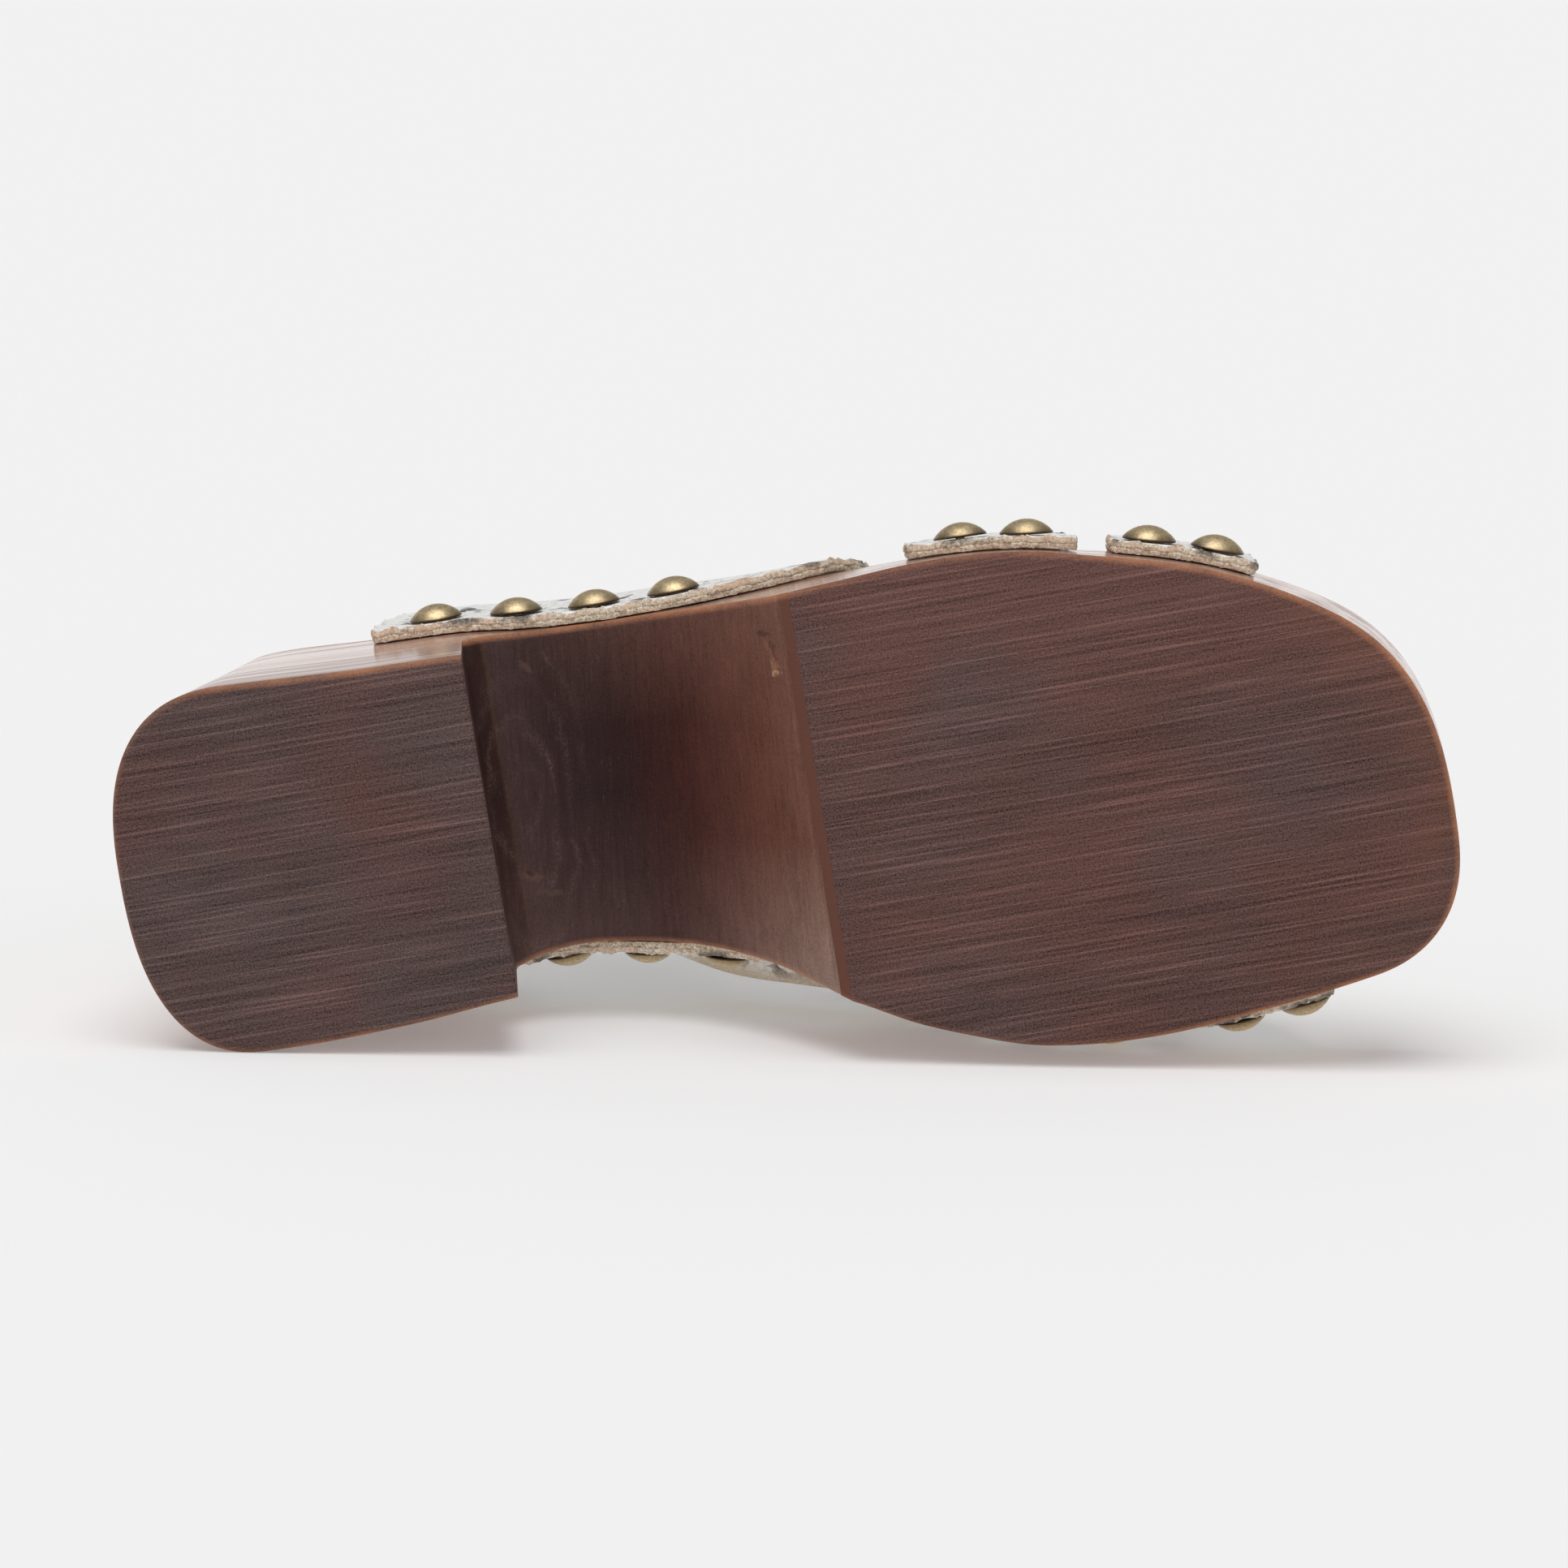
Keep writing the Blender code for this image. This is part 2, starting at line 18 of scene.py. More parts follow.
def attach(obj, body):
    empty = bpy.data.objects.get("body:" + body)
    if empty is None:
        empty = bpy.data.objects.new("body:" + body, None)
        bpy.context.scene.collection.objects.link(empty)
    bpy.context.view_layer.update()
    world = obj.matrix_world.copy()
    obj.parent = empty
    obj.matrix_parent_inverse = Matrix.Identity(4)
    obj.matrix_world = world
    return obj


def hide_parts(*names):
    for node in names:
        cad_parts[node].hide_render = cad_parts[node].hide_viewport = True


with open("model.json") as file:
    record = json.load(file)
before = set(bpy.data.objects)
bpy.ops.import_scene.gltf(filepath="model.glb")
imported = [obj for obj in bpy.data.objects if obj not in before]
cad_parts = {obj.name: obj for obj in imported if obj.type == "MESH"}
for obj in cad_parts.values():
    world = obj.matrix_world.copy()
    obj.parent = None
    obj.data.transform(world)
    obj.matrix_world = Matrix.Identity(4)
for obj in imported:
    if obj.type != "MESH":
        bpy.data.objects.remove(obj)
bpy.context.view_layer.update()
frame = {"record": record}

METRE = 0.001

# %% [markdown]
# ## The shoe's own frame
# Shoes are measured along the foot, so all sizes below are millimetres in the shoe's frame: x from heel to
# toe, y to the inner side, z up from the tread. The two tread spots in the record say where that frame lies
# in the world: the line between them gives the direction of x, and their shared normal gives z. The pieces
# could be modelled standing and turned by eye, but then they would part from the solids as soon as the shoe
# is laid down differently.

# %% From the shoe's frame to the world
HEEL_SPOT = np.array([36.0, 0.0, 0.0])
FOREFOOT_SPOT = np.array([175.0, 4.0, 0.0])
mounts = {mount["name"]: mount for mount in frame["record"]["mounts"]}
heel = np.array(mounts["heel_tread"]["pos_m"])
forefoot = np.array(mounts["forefoot_tread"]["pos_m"])
shoe_up = -np.array(mounts["heel_tread"]["axis"])
line = (forefoot - heel) / np.linalg.norm(forefoot - heel)
swing = math.atan2(*(FOREFOOT_SPOT - HEEL_SPOT)[1::-1])
shoe_ahead = line * math.cos(swing) - np.cross(shoe_up, line) * math.sin(swing)
shoe_axes = np.stack([shoe_ahead, np.cross(shoe_up, shoe_ahead), shoe_up])
shoe_origin = heel - HEEL_SPOT * METRE @ shoe_axes


def to_world(points):
    """World points in metres for shoe points in millimetres: origin + x * ahead + y * inward + z * up."""
    return shoe_origin + points * METRE @ shoe_axes


print("heel's back is at", to_world(np.zeros(3)).round(4), "and the toe points along", shoe_ahead.round(4))

# %% [markdown]
# ## The camera
# The photo looks almost straight at the tread, from a little towards the outer side, with a long lens. The
# camera is given in the shoe's frame, so it keeps the photo's angle to the shoe wherever the shoe lies.

# %% Place the camera
AIM = np.array([126.03, -4.1, 0.0])
CAMERA_RISE = math.radians(8.3)
CAMERA_ROLL = math.radians(6.5)
CAMERA_DISTANCE = 1025.0
LENS = 125.78
SENSOR = 36.0
VIEW_END = 200.0

towards = np.array([0.0, math.sin(CAMERA_RISE), math.cos(CAMERA_RISE)])
level_right = np.array([1.0, 0.0, 0.0])
level_up = np.array([0.0, -math.cos(CAMERA_RISE), math.sin(CAMERA_RISE)])
right = level_right * math.cos(CAMERA_ROLL) - level_up * math.sin(CAMERA_ROLL)
upward = level_right * math.sin(CAMERA_ROLL) + level_up * math.cos(CAMERA_ROLL)
camera_data = bpy.data.cameras.new("camera")
camera_data.lens = LENS
camera_data.sensor_width = SENSOR
camera_data.clip_end = VIEW_END
camera = bpy.data.objects.new("camera", camera_data)
bpy.context.scene.collection.objects.link(camera)
turn = np.stack([right, upward, -towards]) @ shoe_axes
camera.matrix_world = Matrix.Translation(to_world(AIM - CAMERA_DISTANCE * towards)) @ Matrix(turn.T).to_4x4()
bpy.context.scene.camera = camera
print("camera is at", [round(c, 3) for c in camera.matrix_world.translation])
print("it looks along", (towards @ shoe_axes).round(3))

# %% [markdown]
# ## Sizes of the sole
# A carver works from a few outlines: the side lines of the tread, the height of the footbed and the curve
# under the waist. They are short tables with named columns, read as smooth curves along the foot. A
# sculpted block could have the same shape, but a table can be measured and changed one number at a time.

# %% Tables of the sole
SOLE_LENGTH = 250.0
STATION_SKEW = 0.044
BREAST_STATION = 69.1
BREAST_SLANT = 0.3
BREAST_HEIGHT = 28.0
BREAST_UNDERCUT = 1.4
UNDERCUT_START = 40.0
FOREFOOT_STATION = 132.7
FOREFOOT_STEP = 2.0
TOE_SPRING = 3.0
TOE_SPRING_START = 214.0
BACK_LEAN = 0.235
BACK_LEAN_REACH = 55.0
TOE_FLARE = 0.1
TOE_FLARE_REACH = 60.0
RIM_WIDTH = 4.0
LIP_SHARE = 0.2
HEEL_END_Y = 0.0
TOE_END_Y = 18.0
HEEL_ROUND = {"inner": (22.0, 2.5), "outer": (26.0, 2.5)}
TOE_ROUND = {"inner": (20.0, 2.6), "outer": (82.0, 2.5)}


def table(columns, *rows):
    """Named columns of a small table, each as an array."""
    return dict(zip(columns.split(), np.array(rows, float).T))


SIDES = table(
    "station inner outer inner_lean outer_lean",
    (0.0, 35.2, 34.2, 0.0, 0.07),
    (30.0, 35.2, 34.3, 0.0, 0.025),
    (50.0, 33.5, 34.4, 0.01, 0.02),
    (70.5, 30.6, 34.9, 0.03, 0.016),
    (80.0, 29.9, 34.5, 0.045, 0.016),
    (95.0, 30.8, 35.0, 0.05, 0.022),
    (110.0, 32.4, 36.5, 0.055, 0.03),
    (125.0, 35.9, 38.6, 0.065, 0.05),
    (133.0, 39.0, 39.8, 0.075, 0.06),
    (144.0, 44.4, 41.1, 0.085, 0.067),
    (154.0, 48.0, 42.3, 0.09, 0.076),
    (164.0, 50.9, 42.9, 0.095, 0.08),
    (176.0, 52.2, 42.6, 0.09, 0.08),
    (190.0, 51.9, 41.0, 0.03, 0.06),
    (210.0, 49.1, 39.9, -0.03, 0.03),
    (230.0, 45.4, 39.8, -0.03, 0.0),
    (250.0, 41.0, 44.0, -0.03, -0.05),
)
FOOTBED = table(
    "station rim dish",
    (0.0, 66.0, 3.5),
    (30.0, 64.5, 4.5),
    (60.0, 60.0, 4.0),
    (90.0, 53.0, 3.0),
    (120.0, 44.0, 2.5),
    (150.0, 36.0, 2.5),
    (180.0, 30.0, 2.5),
    (210.0, 25.5, 2.0),
    (250.0, 24.5, 1.0),
)
ARCH = table(
    "station height",
    (BREAST_STATION + BREAST_SLANT, BREAST_HEIGHT),
    (73.4, 33.0),
    (78.0, 35.2),
    (84.0, 36.5),
    (90.0, 36.6),
    (98.0, 34.8),
    (108.0, 28.8),
    (119.0, 17.8),
    (FOREFOOT_STATION - FOREFOOT_STEP, FOREFOOT_STEP),
)


def along(columns, name, station):
    """Smooth curve through a named column: cubic pieces whose slopes are central differences."""
    xs, ys = columns["station"], columns[name]
    slopes = np.gradient(ys, xs)
    station = np.clip(np.asarray(station, float), xs[0], xs[-1])
    i = np.clip(np.searchsorted(xs, station, side="right") - 1, 0, len(xs) - 2)
    step = xs[i + 1] - xs[i]
    t = (station - xs[i]) / step
    start = ys[i] * (1 + 2 * t) * (1 - t) ** 2 + slopes[i] * step * t * (1 - t) ** 2
    end = ys[i + 1] * t * t * (3 - 2 * t) + slopes[i + 1] * step * t * t * (t - 1)
    return start + end


def round_end(distance, reach, fullness):
    """Share of the full half width at a distance from a superelliptic tip: (1 - (1 - d / reach)^n)^(1/n)."""
    inward = np.clip(1.0 - distance / reach, 0.0, 1.0)
    return (1.0 - inward ** fullness) ** (1.0 / fullness)


print("sole:", SOLE_LENGTH, "mm long,", len(SIDES["station"]), "side stations")

# %% [markdown]
# ## The walls of the sole
# The tread's outline is the side line drawn in to a round tip at the heel and the toe. The walls lean a
# little with height. The stations lie askew, because the breast of the heel is cut askew, and both ends
# lean too. A formula is used instead of a bevelled box, because it gives any point of a wall exactly, and
# the straps and nails are set on the walls later.

# %% Outline, walls and placing
SIGN = {"inner": 1.0, "outer": -1.0}
LEAN_ONSET = 0.35
TINY = 1e-12


def end_share(side, station):
    """Product of the heel's and the toe's rounding on one side."""
    heel_share = round_end(station, *HEEL_ROUND[side])
    return heel_share * round_end(SOLE_LENGTH - station, *TOE_ROUND[side])


def side_line(side, station):
    """Signed y of the tread's edge: the side's table drawn in to the tips of heel and toe."""
    y = SIGN[side] * along(SIDES, side, station)
    y = HEEL_END_Y + (y - HEEL_END_Y) * round_end(station, *HEEL_ROUND[side])
    return TOE_END_Y + (y - TOE_END_Y) * round_end(SOLE_LENGTH - station, *TOE_ROUND[side])


def wall(side, station, z):
    """Signed y of the side wall at a height: side line less lean * height, with no lean at the tips."""
    onset = np.clip(end_share(side, station) / LEAN_ONSET, 0.0, 1.0)
    return side_line(side, station) - SIGN[side] * along(SIDES, side + "_lean", station) * onset * z


def place(station, y, z):
    """Shoe point of a station: x = station + skew * y + lean of the ends * z + undercut of the breast."""
    back = np.clip(1 - station / BACK_LEAN_REACH, 0.0, 1.0) ** 2
    toe = np.clip(1 - (SOLE_LENGTH - station) / TOE_FLARE_REACH, 0.0, 1.0)
    x = station + STATION_SKEW * y + (BACK_LEAN * back + TOE_FLARE * toe) * z
    grown = np.clip((station - UNDERCUT_START) / (BREAST_STATION - UNDERCUT_START), 0.0, 1.0) ** 2
    undercut = np.where(station <= BREAST_STATION + BREAST_SLANT, BREAST_UNDERCUT * grown, 0.0)
    x = x + undercut * np.clip(1 - z / BREAST_HEIGHT, 0.0, 1.0)
    return np.stack(np.broadcast_arrays(x, y, z), axis=-1)


def edge_gap(station, y, inner, outer):
    """Distance in plan from a point to the outline.

    The outline lies a gap a away across the shoe and a gap b away along it, and is nearly straight between
    those two places, so the distance is a * b / sqrt(a^2 + b^2).
    """
    across = np.minimum(inner - y, y - outer)
    ahead = np.full(np.broadcast(station, y).shape, np.inf)
    ends = ((station, HEEL_END_Y, HEEL_ROUND), (SOLE_LENGTH - station, TOE_END_Y, TOE_ROUND))
    for distance, tip, rounds in ends:
        for side, sign in SIGN.items():
            reach, fullness = rounds[side]
            half = np.abs(sign * along(SIDES, side, station) - tip)
            share = np.clip((y - tip) * sign / half, 0.0, 1.0)
            tip_gap = distance - reach * (1 - (1 - share ** fullness) ** (1 / fullness))
            on_side = (y - tip) * sign >= 0
            ahead = np.where(on_side, np.minimum(ahead, tip_gap), ahead)
    across, ahead = np.maximum(across, 0.0), np.maximum(ahead, 0.0)
    return across * ahead / np.sqrt(across ** 2 + ahead ** 2 + TINY)


BALL_STATION = 172.0
ball_width = side_line("inner", BALL_STATION) - side_line("outer", BALL_STATION)
print("width at the ball %.1f mm" % ball_width)

# %% [markdown]
# ## Line under the sole
# Seen from the side, the underside is one line: flat heel, rounded corner, slanted breast, arch, a small
# step and the flat forefoot with its toe spring. A loft carries one cross section along that line. The step
# has a fine groove behind it, where the cutter stopped. Cutting the arch with a boolean would leave long
# thin faces that shade badly, so the sections are set closer together where the line turns.

# %% Sections along the line
TREAD_CORNER = 0.6
GROOVE_WIDTH = 0.9
GROOVE_DEPTH = 0.45
HEEL_END = 24.0
TOE_END = 26.0
SECTIONS = dict(tip=44, seat=26, breast=16, arch=70, groove=9, step=6, tread=52)
CORNER_EVERY = 6
BREAST_FIRST = 0.06


def under_line():
    """Station and height of the underside at every cross section, heel to toe."""
    quarter = np.linspace(0.0, math.pi / 2, SECTIONS["tip"])
    heel = HEEL_END * (1 - np.cos(quarter))
    seat = np.linspace(HEEL_END, BREAST_STATION - TREAD_CORNER, SECTIONS["seat"])[1:]
    corner = quarter[::CORNER_EVERY]
    breast = np.linspace(BREAST_FIRST, 1.0, SECTIONS["breast"])
    arch_end = FOREFOOT_STATION - FOREFOOT_STEP
    arch = np.linspace(BREAST_STATION + BREAST_SLANT, arch_end - GROOVE_WIDTH, SECTIONS["arch"])[1:]
    groove = np.linspace(-math.pi, math.pi, SECTIONS["groove"])[1:]
    groove_station = arch_end - GROOVE_WIDTH / 2 + GROOVE_WIDTH / 2 * groove / math.pi
    step = np.linspace(0.0, 1.0, SECTIONS["step"])[1:-1]
    tread = np.linspace(FOREFOOT_STATION, SOLE_LENGTH - TOE_END, SECTIONS["tread"])
    toe = SOLE_LENGTH - TOE_END * (1 - np.cos(quarter[::-1]))[1:]
    station = np.concatenate([
        heel, seat,
        BREAST_STATION - TREAD_CORNER + TREAD_CORNER * np.sin(corner)[1:],
        BREAST_STATION + BREAST_SLANT * breast,
        arch,
        groove_station,
        arch_end + FOREFOOT_STEP * step,
        tread, toe,
    ])
    front = np.concatenate([tread, toe])
    spring = TOE_SPRING * (np.maximum(0.0, front - TOE_SPRING_START) / (SOLE_LENGTH - TOE_SPRING_START)) ** 2
    height = np.concatenate([
        np.zeros(len(heel) + len(seat)),
        TREAD_CORNER * (1 - np.cos(corner)[1:]),
        BREAST_HEIGHT * breast,
        along(ARCH, "height", arch),
        along(ARCH, "height", groove_station) + GROOVE_DEPTH * (1 + np.cos(groove)) / 2,
        FOREFOOT_STEP * (1 - step),
        spring,
    ])
    return station, height


section_station, section_low = under_line()
print(len(section_station), "cross sections")

# %% [markdown]
# ## Surface of the sole
# Each cross section runs across the tread, up the outer wall, back over the dished footbed and down the
# inner wall. Near the outline the tread and the rim curve over, by the distance in plan to the outline, so
# the rounding is the same all round the toe and the heel. The same distance later says where the stain is
# worn off. A Bevel modifier could round the edges too, but it would not keep that distance.

# %% Rings of the sole
EDGE_ROUND = 1.5
RIM_ROUND = 2.4
TREAD_POINTS = 92
WALL_POINTS = 22
BED_POINTS = 62
LEAST_HALF = 0.01


def curl(gap, radius):
    """Drop of a rounded edge at a gap from the outline: r - sqrt(r^2 - (r - gap)^2)."""
    inside = np.clip(1.0 - gap / radius, 0.0, 1.0)
    return radius * (1.0 - np.sqrt(1.0 - inside ** 2))


def sole_rings(station, low):
    """Points of every cross section, and the gap to the nearest worn edge at each point."""
    s, low = station[:, None], low[:, None]
    rim = along(FOOTBED, "rim", s)
    spread = (1 - np.cos(np.linspace(0.0, math.pi, TREAD_POINTS))) / 2
    foot_in, foot_out = wall("inner", s, low + EDGE_ROUND), wall("outer", s, low + EDGE_ROUND)
    tread_y = foot_in + (foot_out - foot_in) * spread
    tread_gap = edge_gap(s, tread_y, foot_in, foot_out)
    tread_z = low + curl(tread_gap, EDGE_ROUND)
    rise = np.linspace(0.0, 1.0, WALL_POINTS)[1:-1]
    wall_z = low + EDGE_ROUND + (rim - RIM_ROUND - low - EDGE_ROUND) * rise
    spread = (1 + np.cos(np.linspace(0.0, math.pi, BED_POINTS))) / 2
    bed_in, bed_out = wall("inner", s, rim - RIM_ROUND), wall("outer", s, rim - RIM_ROUND)
    bed_y = bed_in + (bed_out - bed_in) * spread
    bed_gap = edge_gap(s, bed_y, bed_in, bed_out)
    lip = np.minimum(RIM_WIDTH, LIP_SHARE * (foot_in - foot_out))
    middle, half = (bed_in + bed_out) / 2, np.maximum((bed_in - bed_out) / 2 - lip, LEAST_HALF)
    end = np.minimum(s, SOLE_LENGTH - s)
    dish = along(FOOTBED, "dish", s) * np.clip(end / RIM_WIDTH, 0.0, 1.0)
    hollow = dish * np.clip(1 - ((bed_y - middle) / half) ** 2, 0.0, 1.0)
    bed_z = rim - curl(bed_gap, RIM_ROUND) - hollow
    y = np.concatenate([tread_y, wall("outer", s, wall_z), bed_y, wall("inner", s, wall_z)[:, ::-1]], axis=1)
    z = np.concatenate([tread_z, wall_z, bed_z, wall_z[:, ::-1]], axis=1)
    wall_gap = np.minimum(wall_z - low - EDGE_ROUND, rim - RIM_ROUND - wall_z)
    gap = np.concatenate([tread_gap, wall_gap, bed_gap, wall_gap[:, ::-1]], axis=1)
    return place(np.broadcast_to(s, y.shape), y, z), gap


rings, ring_gap = sole_rings(section_station, section_low)
print("sole surface", rings.shape[:2], "points")
print("lowest %.2f mm, highest %.2f mm" % (rings[..., 2].min(), rings[..., 2].max()))

# %% [markdown]
# ## From grids to meshes
# A grid of points becomes quads by index arithmetic. Each mesh keeps its shoe coordinates as an attribute,
# so grain and print follow the shoe however it lies, and it keeps any masks that its finish needs. UV maps
# could carry the patterns as well, but they would stretch where the grid does.

# %% Mesh helpers
MERGE_DISTANCE = 1e-7
SHARP_ANGLE = 40.0


def grid_quads(rows, columns, start=0, wrap=False):
    """Quads of a grid of points counted row by row; wrap also joins the last column to the first."""
    i = np.arange(rows - 1)[:, None] * columns
    j = np.arange(columns if wrap else columns - 1)[None, :]
    k = (j + 1) % columns
    return start + np.stack([i + j, i + k, i + columns + k, i + columns + j], axis=-1).reshape(-1, 4)


def add_piece(name, points, quads, masks, sharp_angle=SHARP_ANGLE):
    """Mesh object from shoe points, with doubles merged, faces outward and its masks as attributes."""
    mesh = bpy.data.meshes.new(name)
    mesh.from_pydata(to_world(points).tolist(), [], quads.tolist())
    for label, values in {"shoe_mm": points, **masks}.items():
        kind = "FLOAT_VECTOR" if np.ndim(values) == 2 else "FLOAT"
        attribute = mesh.attributes.new(label, kind, "POINT")
        field = "vector" if kind == "FLOAT_VECTOR" else "value"
        attribute.data.foreach_set(field, np.ravel(values).astype(np.float32))
    work = bmesh.new()
    work.from_mesh(mesh)
    bmesh.ops.remove_doubles(work, verts=work.verts, dist=MERGE_DISTANCE)
    bmesh.ops.dissolve_degenerate(work, edges=work.edges, dist=MERGE_DISTANCE)
    if work.calc_volume(signed=True) < 0:
        bmesh.ops.reverse_faces(work, faces=work.faces)
    open_edges = sum(not edge.is_manifold for edge in work.edges)
    work.to_mesh(mesh)
    work.free()
    mesh.shade_smooth()
    mesh.set_sharp_from_angle(angle=math.radians(sharp_angle))
    piece = bpy.data.objects.new(name, mesh)
    bpy.context.scene.collection.objects.link(piece)
    print(name, len(mesh.polygons), "faces,", open_edges, "open edges")
    return piece


print("meshes merge points closer than", MERGE_DISTANCE, "m")

# %% [markdown]
# ## The sole as one piece
# The sole is carved from one block, so its rings become one closed mesh. It could be cut into a mesh for
# each zone, but then the seams would show. Masks on its points tell the treads, the arch, the step and the
# walls apart instead, so that one material can stain each in its own way.

# %% Sole piece
station_of = np.repeat(section_station, rings.shape[1])
column = np.tile(np.arange(rings.shape[1]), len(section_station))
under = column < TREAD_POINTS
in_waist = (station_of > BREAST_STATION) & (station_of < FOREFOOT_STATION - FOREFOOT_STEP)
on_step = ~in_waist & (station_of > BREAST_STATION) & (station_of < FOREFOOT_STATION)
bed_start = TREAD_POINTS + WALL_POINTS - 2
on_wall = ~under & ((column < bed_start) | (column >= bed_start + BED_POINTS))
sole = add_piece(
    "carved_sole",
    rings.reshape(-1, 3),
    grid_quads(*rings.shape[:2], wrap=True),
    {
        "tread": (under & ~in_waist).astype(float),
        "arch": (under & in_waist).astype(float),
        "step": (under & on_step).astype(float),
        "wall": on_wall.astype(float),
        "edge_gap": ring_gap.ravel(),
    },
)
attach(sole, "root")
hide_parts("wooden_sole")

# %% [markdown]
# ## The foot under the straps
# A strap lies on the wall below the rim and then on a foot that isn't there. The foot is a superellipse
# from rim to rim, higher towards the instep, and it swells past the rim on the inner side. A run value q
# goes up the inner wall, over the foot and down the outer wall as it goes from 0 to 1. A cloth simulation
# could drape the straps over a model of a foot, but stiff nailed leather hardly drapes, and a formula gives
# the same shape on every run.

# %% Foot form
FOOT = table(
    "station top ridge inner_swell outer_swell",
    (45.0, 128.0, 3.0, 0.0, 0.0),
    (75.0, 122.0, 4.0, 0.0, 0.0),
    (95.0, 115.0, 5.0, 2.6, 0.0),
    (110.0, 107.0, 6.0, 7.9, -0.2),
    (125.0, 97.5, 7.0, 8.0, -0.8),
    (140.0, 88.0, 8.0, 5.0, -1.8),
    (155.0, 79.0, 8.5, 1.5, -0.6),
    (170.0, 70.0, 9.0, 0.0, 0.0),
    (185.0, 62.0, 9.0, 0.0, 0.0),
    (200.0, 55.0, 9.0, 0.0, 0.0),
    (215.0, 49.5, 9.0, 0.0, 0.0),
    (230.0, 45.0, 9.0, 0.0, 0.0),
)
FOOT_FULLNESS = 2.3
SWELL_REACH = {"inner": 0.12, "outer": 0.3}
SEAT_GAP = 0.3
STRAP_DROP = 14.0
WALL_SHARE = 0.1
SMALL_STATION, SMALL_RUN = 0.2, 0.002
INSTEP = (100.0, 0.5)


def ease(t):
    """Smooth step from 0 to 1: t^2 (3 - 2t)."""
    t = np.clip(t, 0.0, 1.0)
    return t * t * (3 - 2 * t)


def foot_point(station, q):
    """Shoe point on the skin: the wall moved out by the seat gap, then the superellipse over the foot."""
    rim = along(FOOTBED, "rim", station)
    inner = wall("inner", station, rim) + SEAT_GAP
    outer = wall("outer", station, rim) - SEAT_GAP
    angle = math.pi * np.clip((q - WALL_SHARE) / (1 - 2 * WALL_SHARE), 0.0, 1.0)
    across = np.sign(np.cos(angle)) * np.abs(np.cos(angle)) ** (2 / FOOT_FULLNESS)
    rise = np.abs(np.sin(angle)) ** (2 / FOOT_FULLNESS)
    inner_swell, outer_swell = (along(FOOT, side + "_swell", station) for side in ("inner", "outer"))
    reach = np.where(across > 0, SWELL_REACH["inner"], SWELL_REACH["outer"])
    swell = np.where(across > 0, inner_swell, outer_swell) * ease(rise / reach)
    middle, half = (inner + outer) / 2, (inner - outer) / 2
    ridge = along(FOOT, "ridge", station)
    y = middle + across * (half + swell) + (ridge - middle) * rise * (1 - np.abs(across))
    z = rim + (along(FOOT, "top", station) - rim) * rise
    drop_in = STRAP_DROP * np.clip(1 - q / WALL_SHARE, 0.0, 1.0)
    drop_out = STRAP_DROP * np.clip(1 - (1 - q) / WALL_SHARE, 0.0, 1.0)
    y = np.where(drop_in > 0, wall("inner", station, rim - drop_in) + SEAT_GAP, y)
    y = np.where(drop_out > 0, wall("outer", station, rim - drop_out) - SEAT_GAP, y)
    return place(station, y, z - drop_in - drop_out)


def foot_normal(station, q):
    """Unit normal of the skin, from its two tangents: (change over q) x (change over station)."""
    q = np.clip(q, 2 * SMALL_RUN, 1 - 2 * SMALL_RUN)
    run = foot_point(station + SMALL_STATION, q) - foot_point(station - SMALL_STATION, q)
    over = foot_point(station, q + SMALL_RUN) - foot_point(station, q - SMALL_RUN)
    normal = np.cross(over, run)
    return normal / np.linalg.norm(normal, axis=-1, keepdims=True)


print("foot is %.0f mm high at the instep" % foot_point(*np.array(INSTEP))[2])

# %% [markdown]
# ## Cut of the straps
# Each strap has a rear and a front edge that run over the foot, and corners rounded with a knife. The table
# says where the edges start on each wall and where they pass over the top. Drawing the outline on the two
# parameters, as on a flat pattern, is easier than trimming a finished sheet.

# %% Strap patterns
STRAP_THICKNESS = 2.5
REAR_UPRIGHT = 0.06
EVEN_SHARE = 0.4
STRAPS = {
    "instep_band": dict(
        rear=(50.0, 98.0, 51.2), front=(114.0, 150.0, 114.0),
        sweep=(4.0, 3.5), corner=0.0, steps=(200, 150),
    ),
    "ball_strap": dict(
        rear=(158.0, 162.5, 156.2), front=(190.5, 184.5, 188.3),
        sweep=(2.0, 2.0), corner=4.0, steps=(180, 80),
    ),
    "toe_strap": dict(
        rear=(196.5, 197.0, 194.2), front=(223.5, 217.5, 219.9),
        sweep=(2.0, 2.0), corner=4.0, steps=(170, 70),
    ),
}


def edge_lines(cut, q):
    """Stations of the rear edge, which stands upright and then eases over, and of the swept front edge."""
    low, top, far = cut["rear"]
    base = np.where(q < 0.5, low, far)
    rear = base + (top - base) * ease((np.minimum(q, 1 - q) - REAR_UPRIGHT) / (0.5 - REAR_UPRIGHT))
    low, top, far = cut["front"]
    base = np.where(q < 0.5, low, far)
    front = top + (base - top) * (1 - np.sin(math.pi * q)) ** np.where(q < 0.5, *cut["sweep"])
    if cut["corner"]:
        end = np.clip(np.minimum(q, 1 - q) / (WALL_SHARE * cut["corner"] / STRAP_DROP), 0.0, 1.0)
        draw_in = cut["corner"] * (1 - np.sqrt(1 - (1 - end) ** 2))
        rear, front = rear + draw_in, front - draw_in
    return rear, front


def run_values(count):
    """Values of q from 0 to 1, closer together on the walls: even steps mixed with cosine steps."""
    t = np.linspace(0.0, 1.0, count)
    return EVEN_SHARE * t + (1 - EVEN_SHARE) * (1 - np.cos(math.pi * t)) / 2


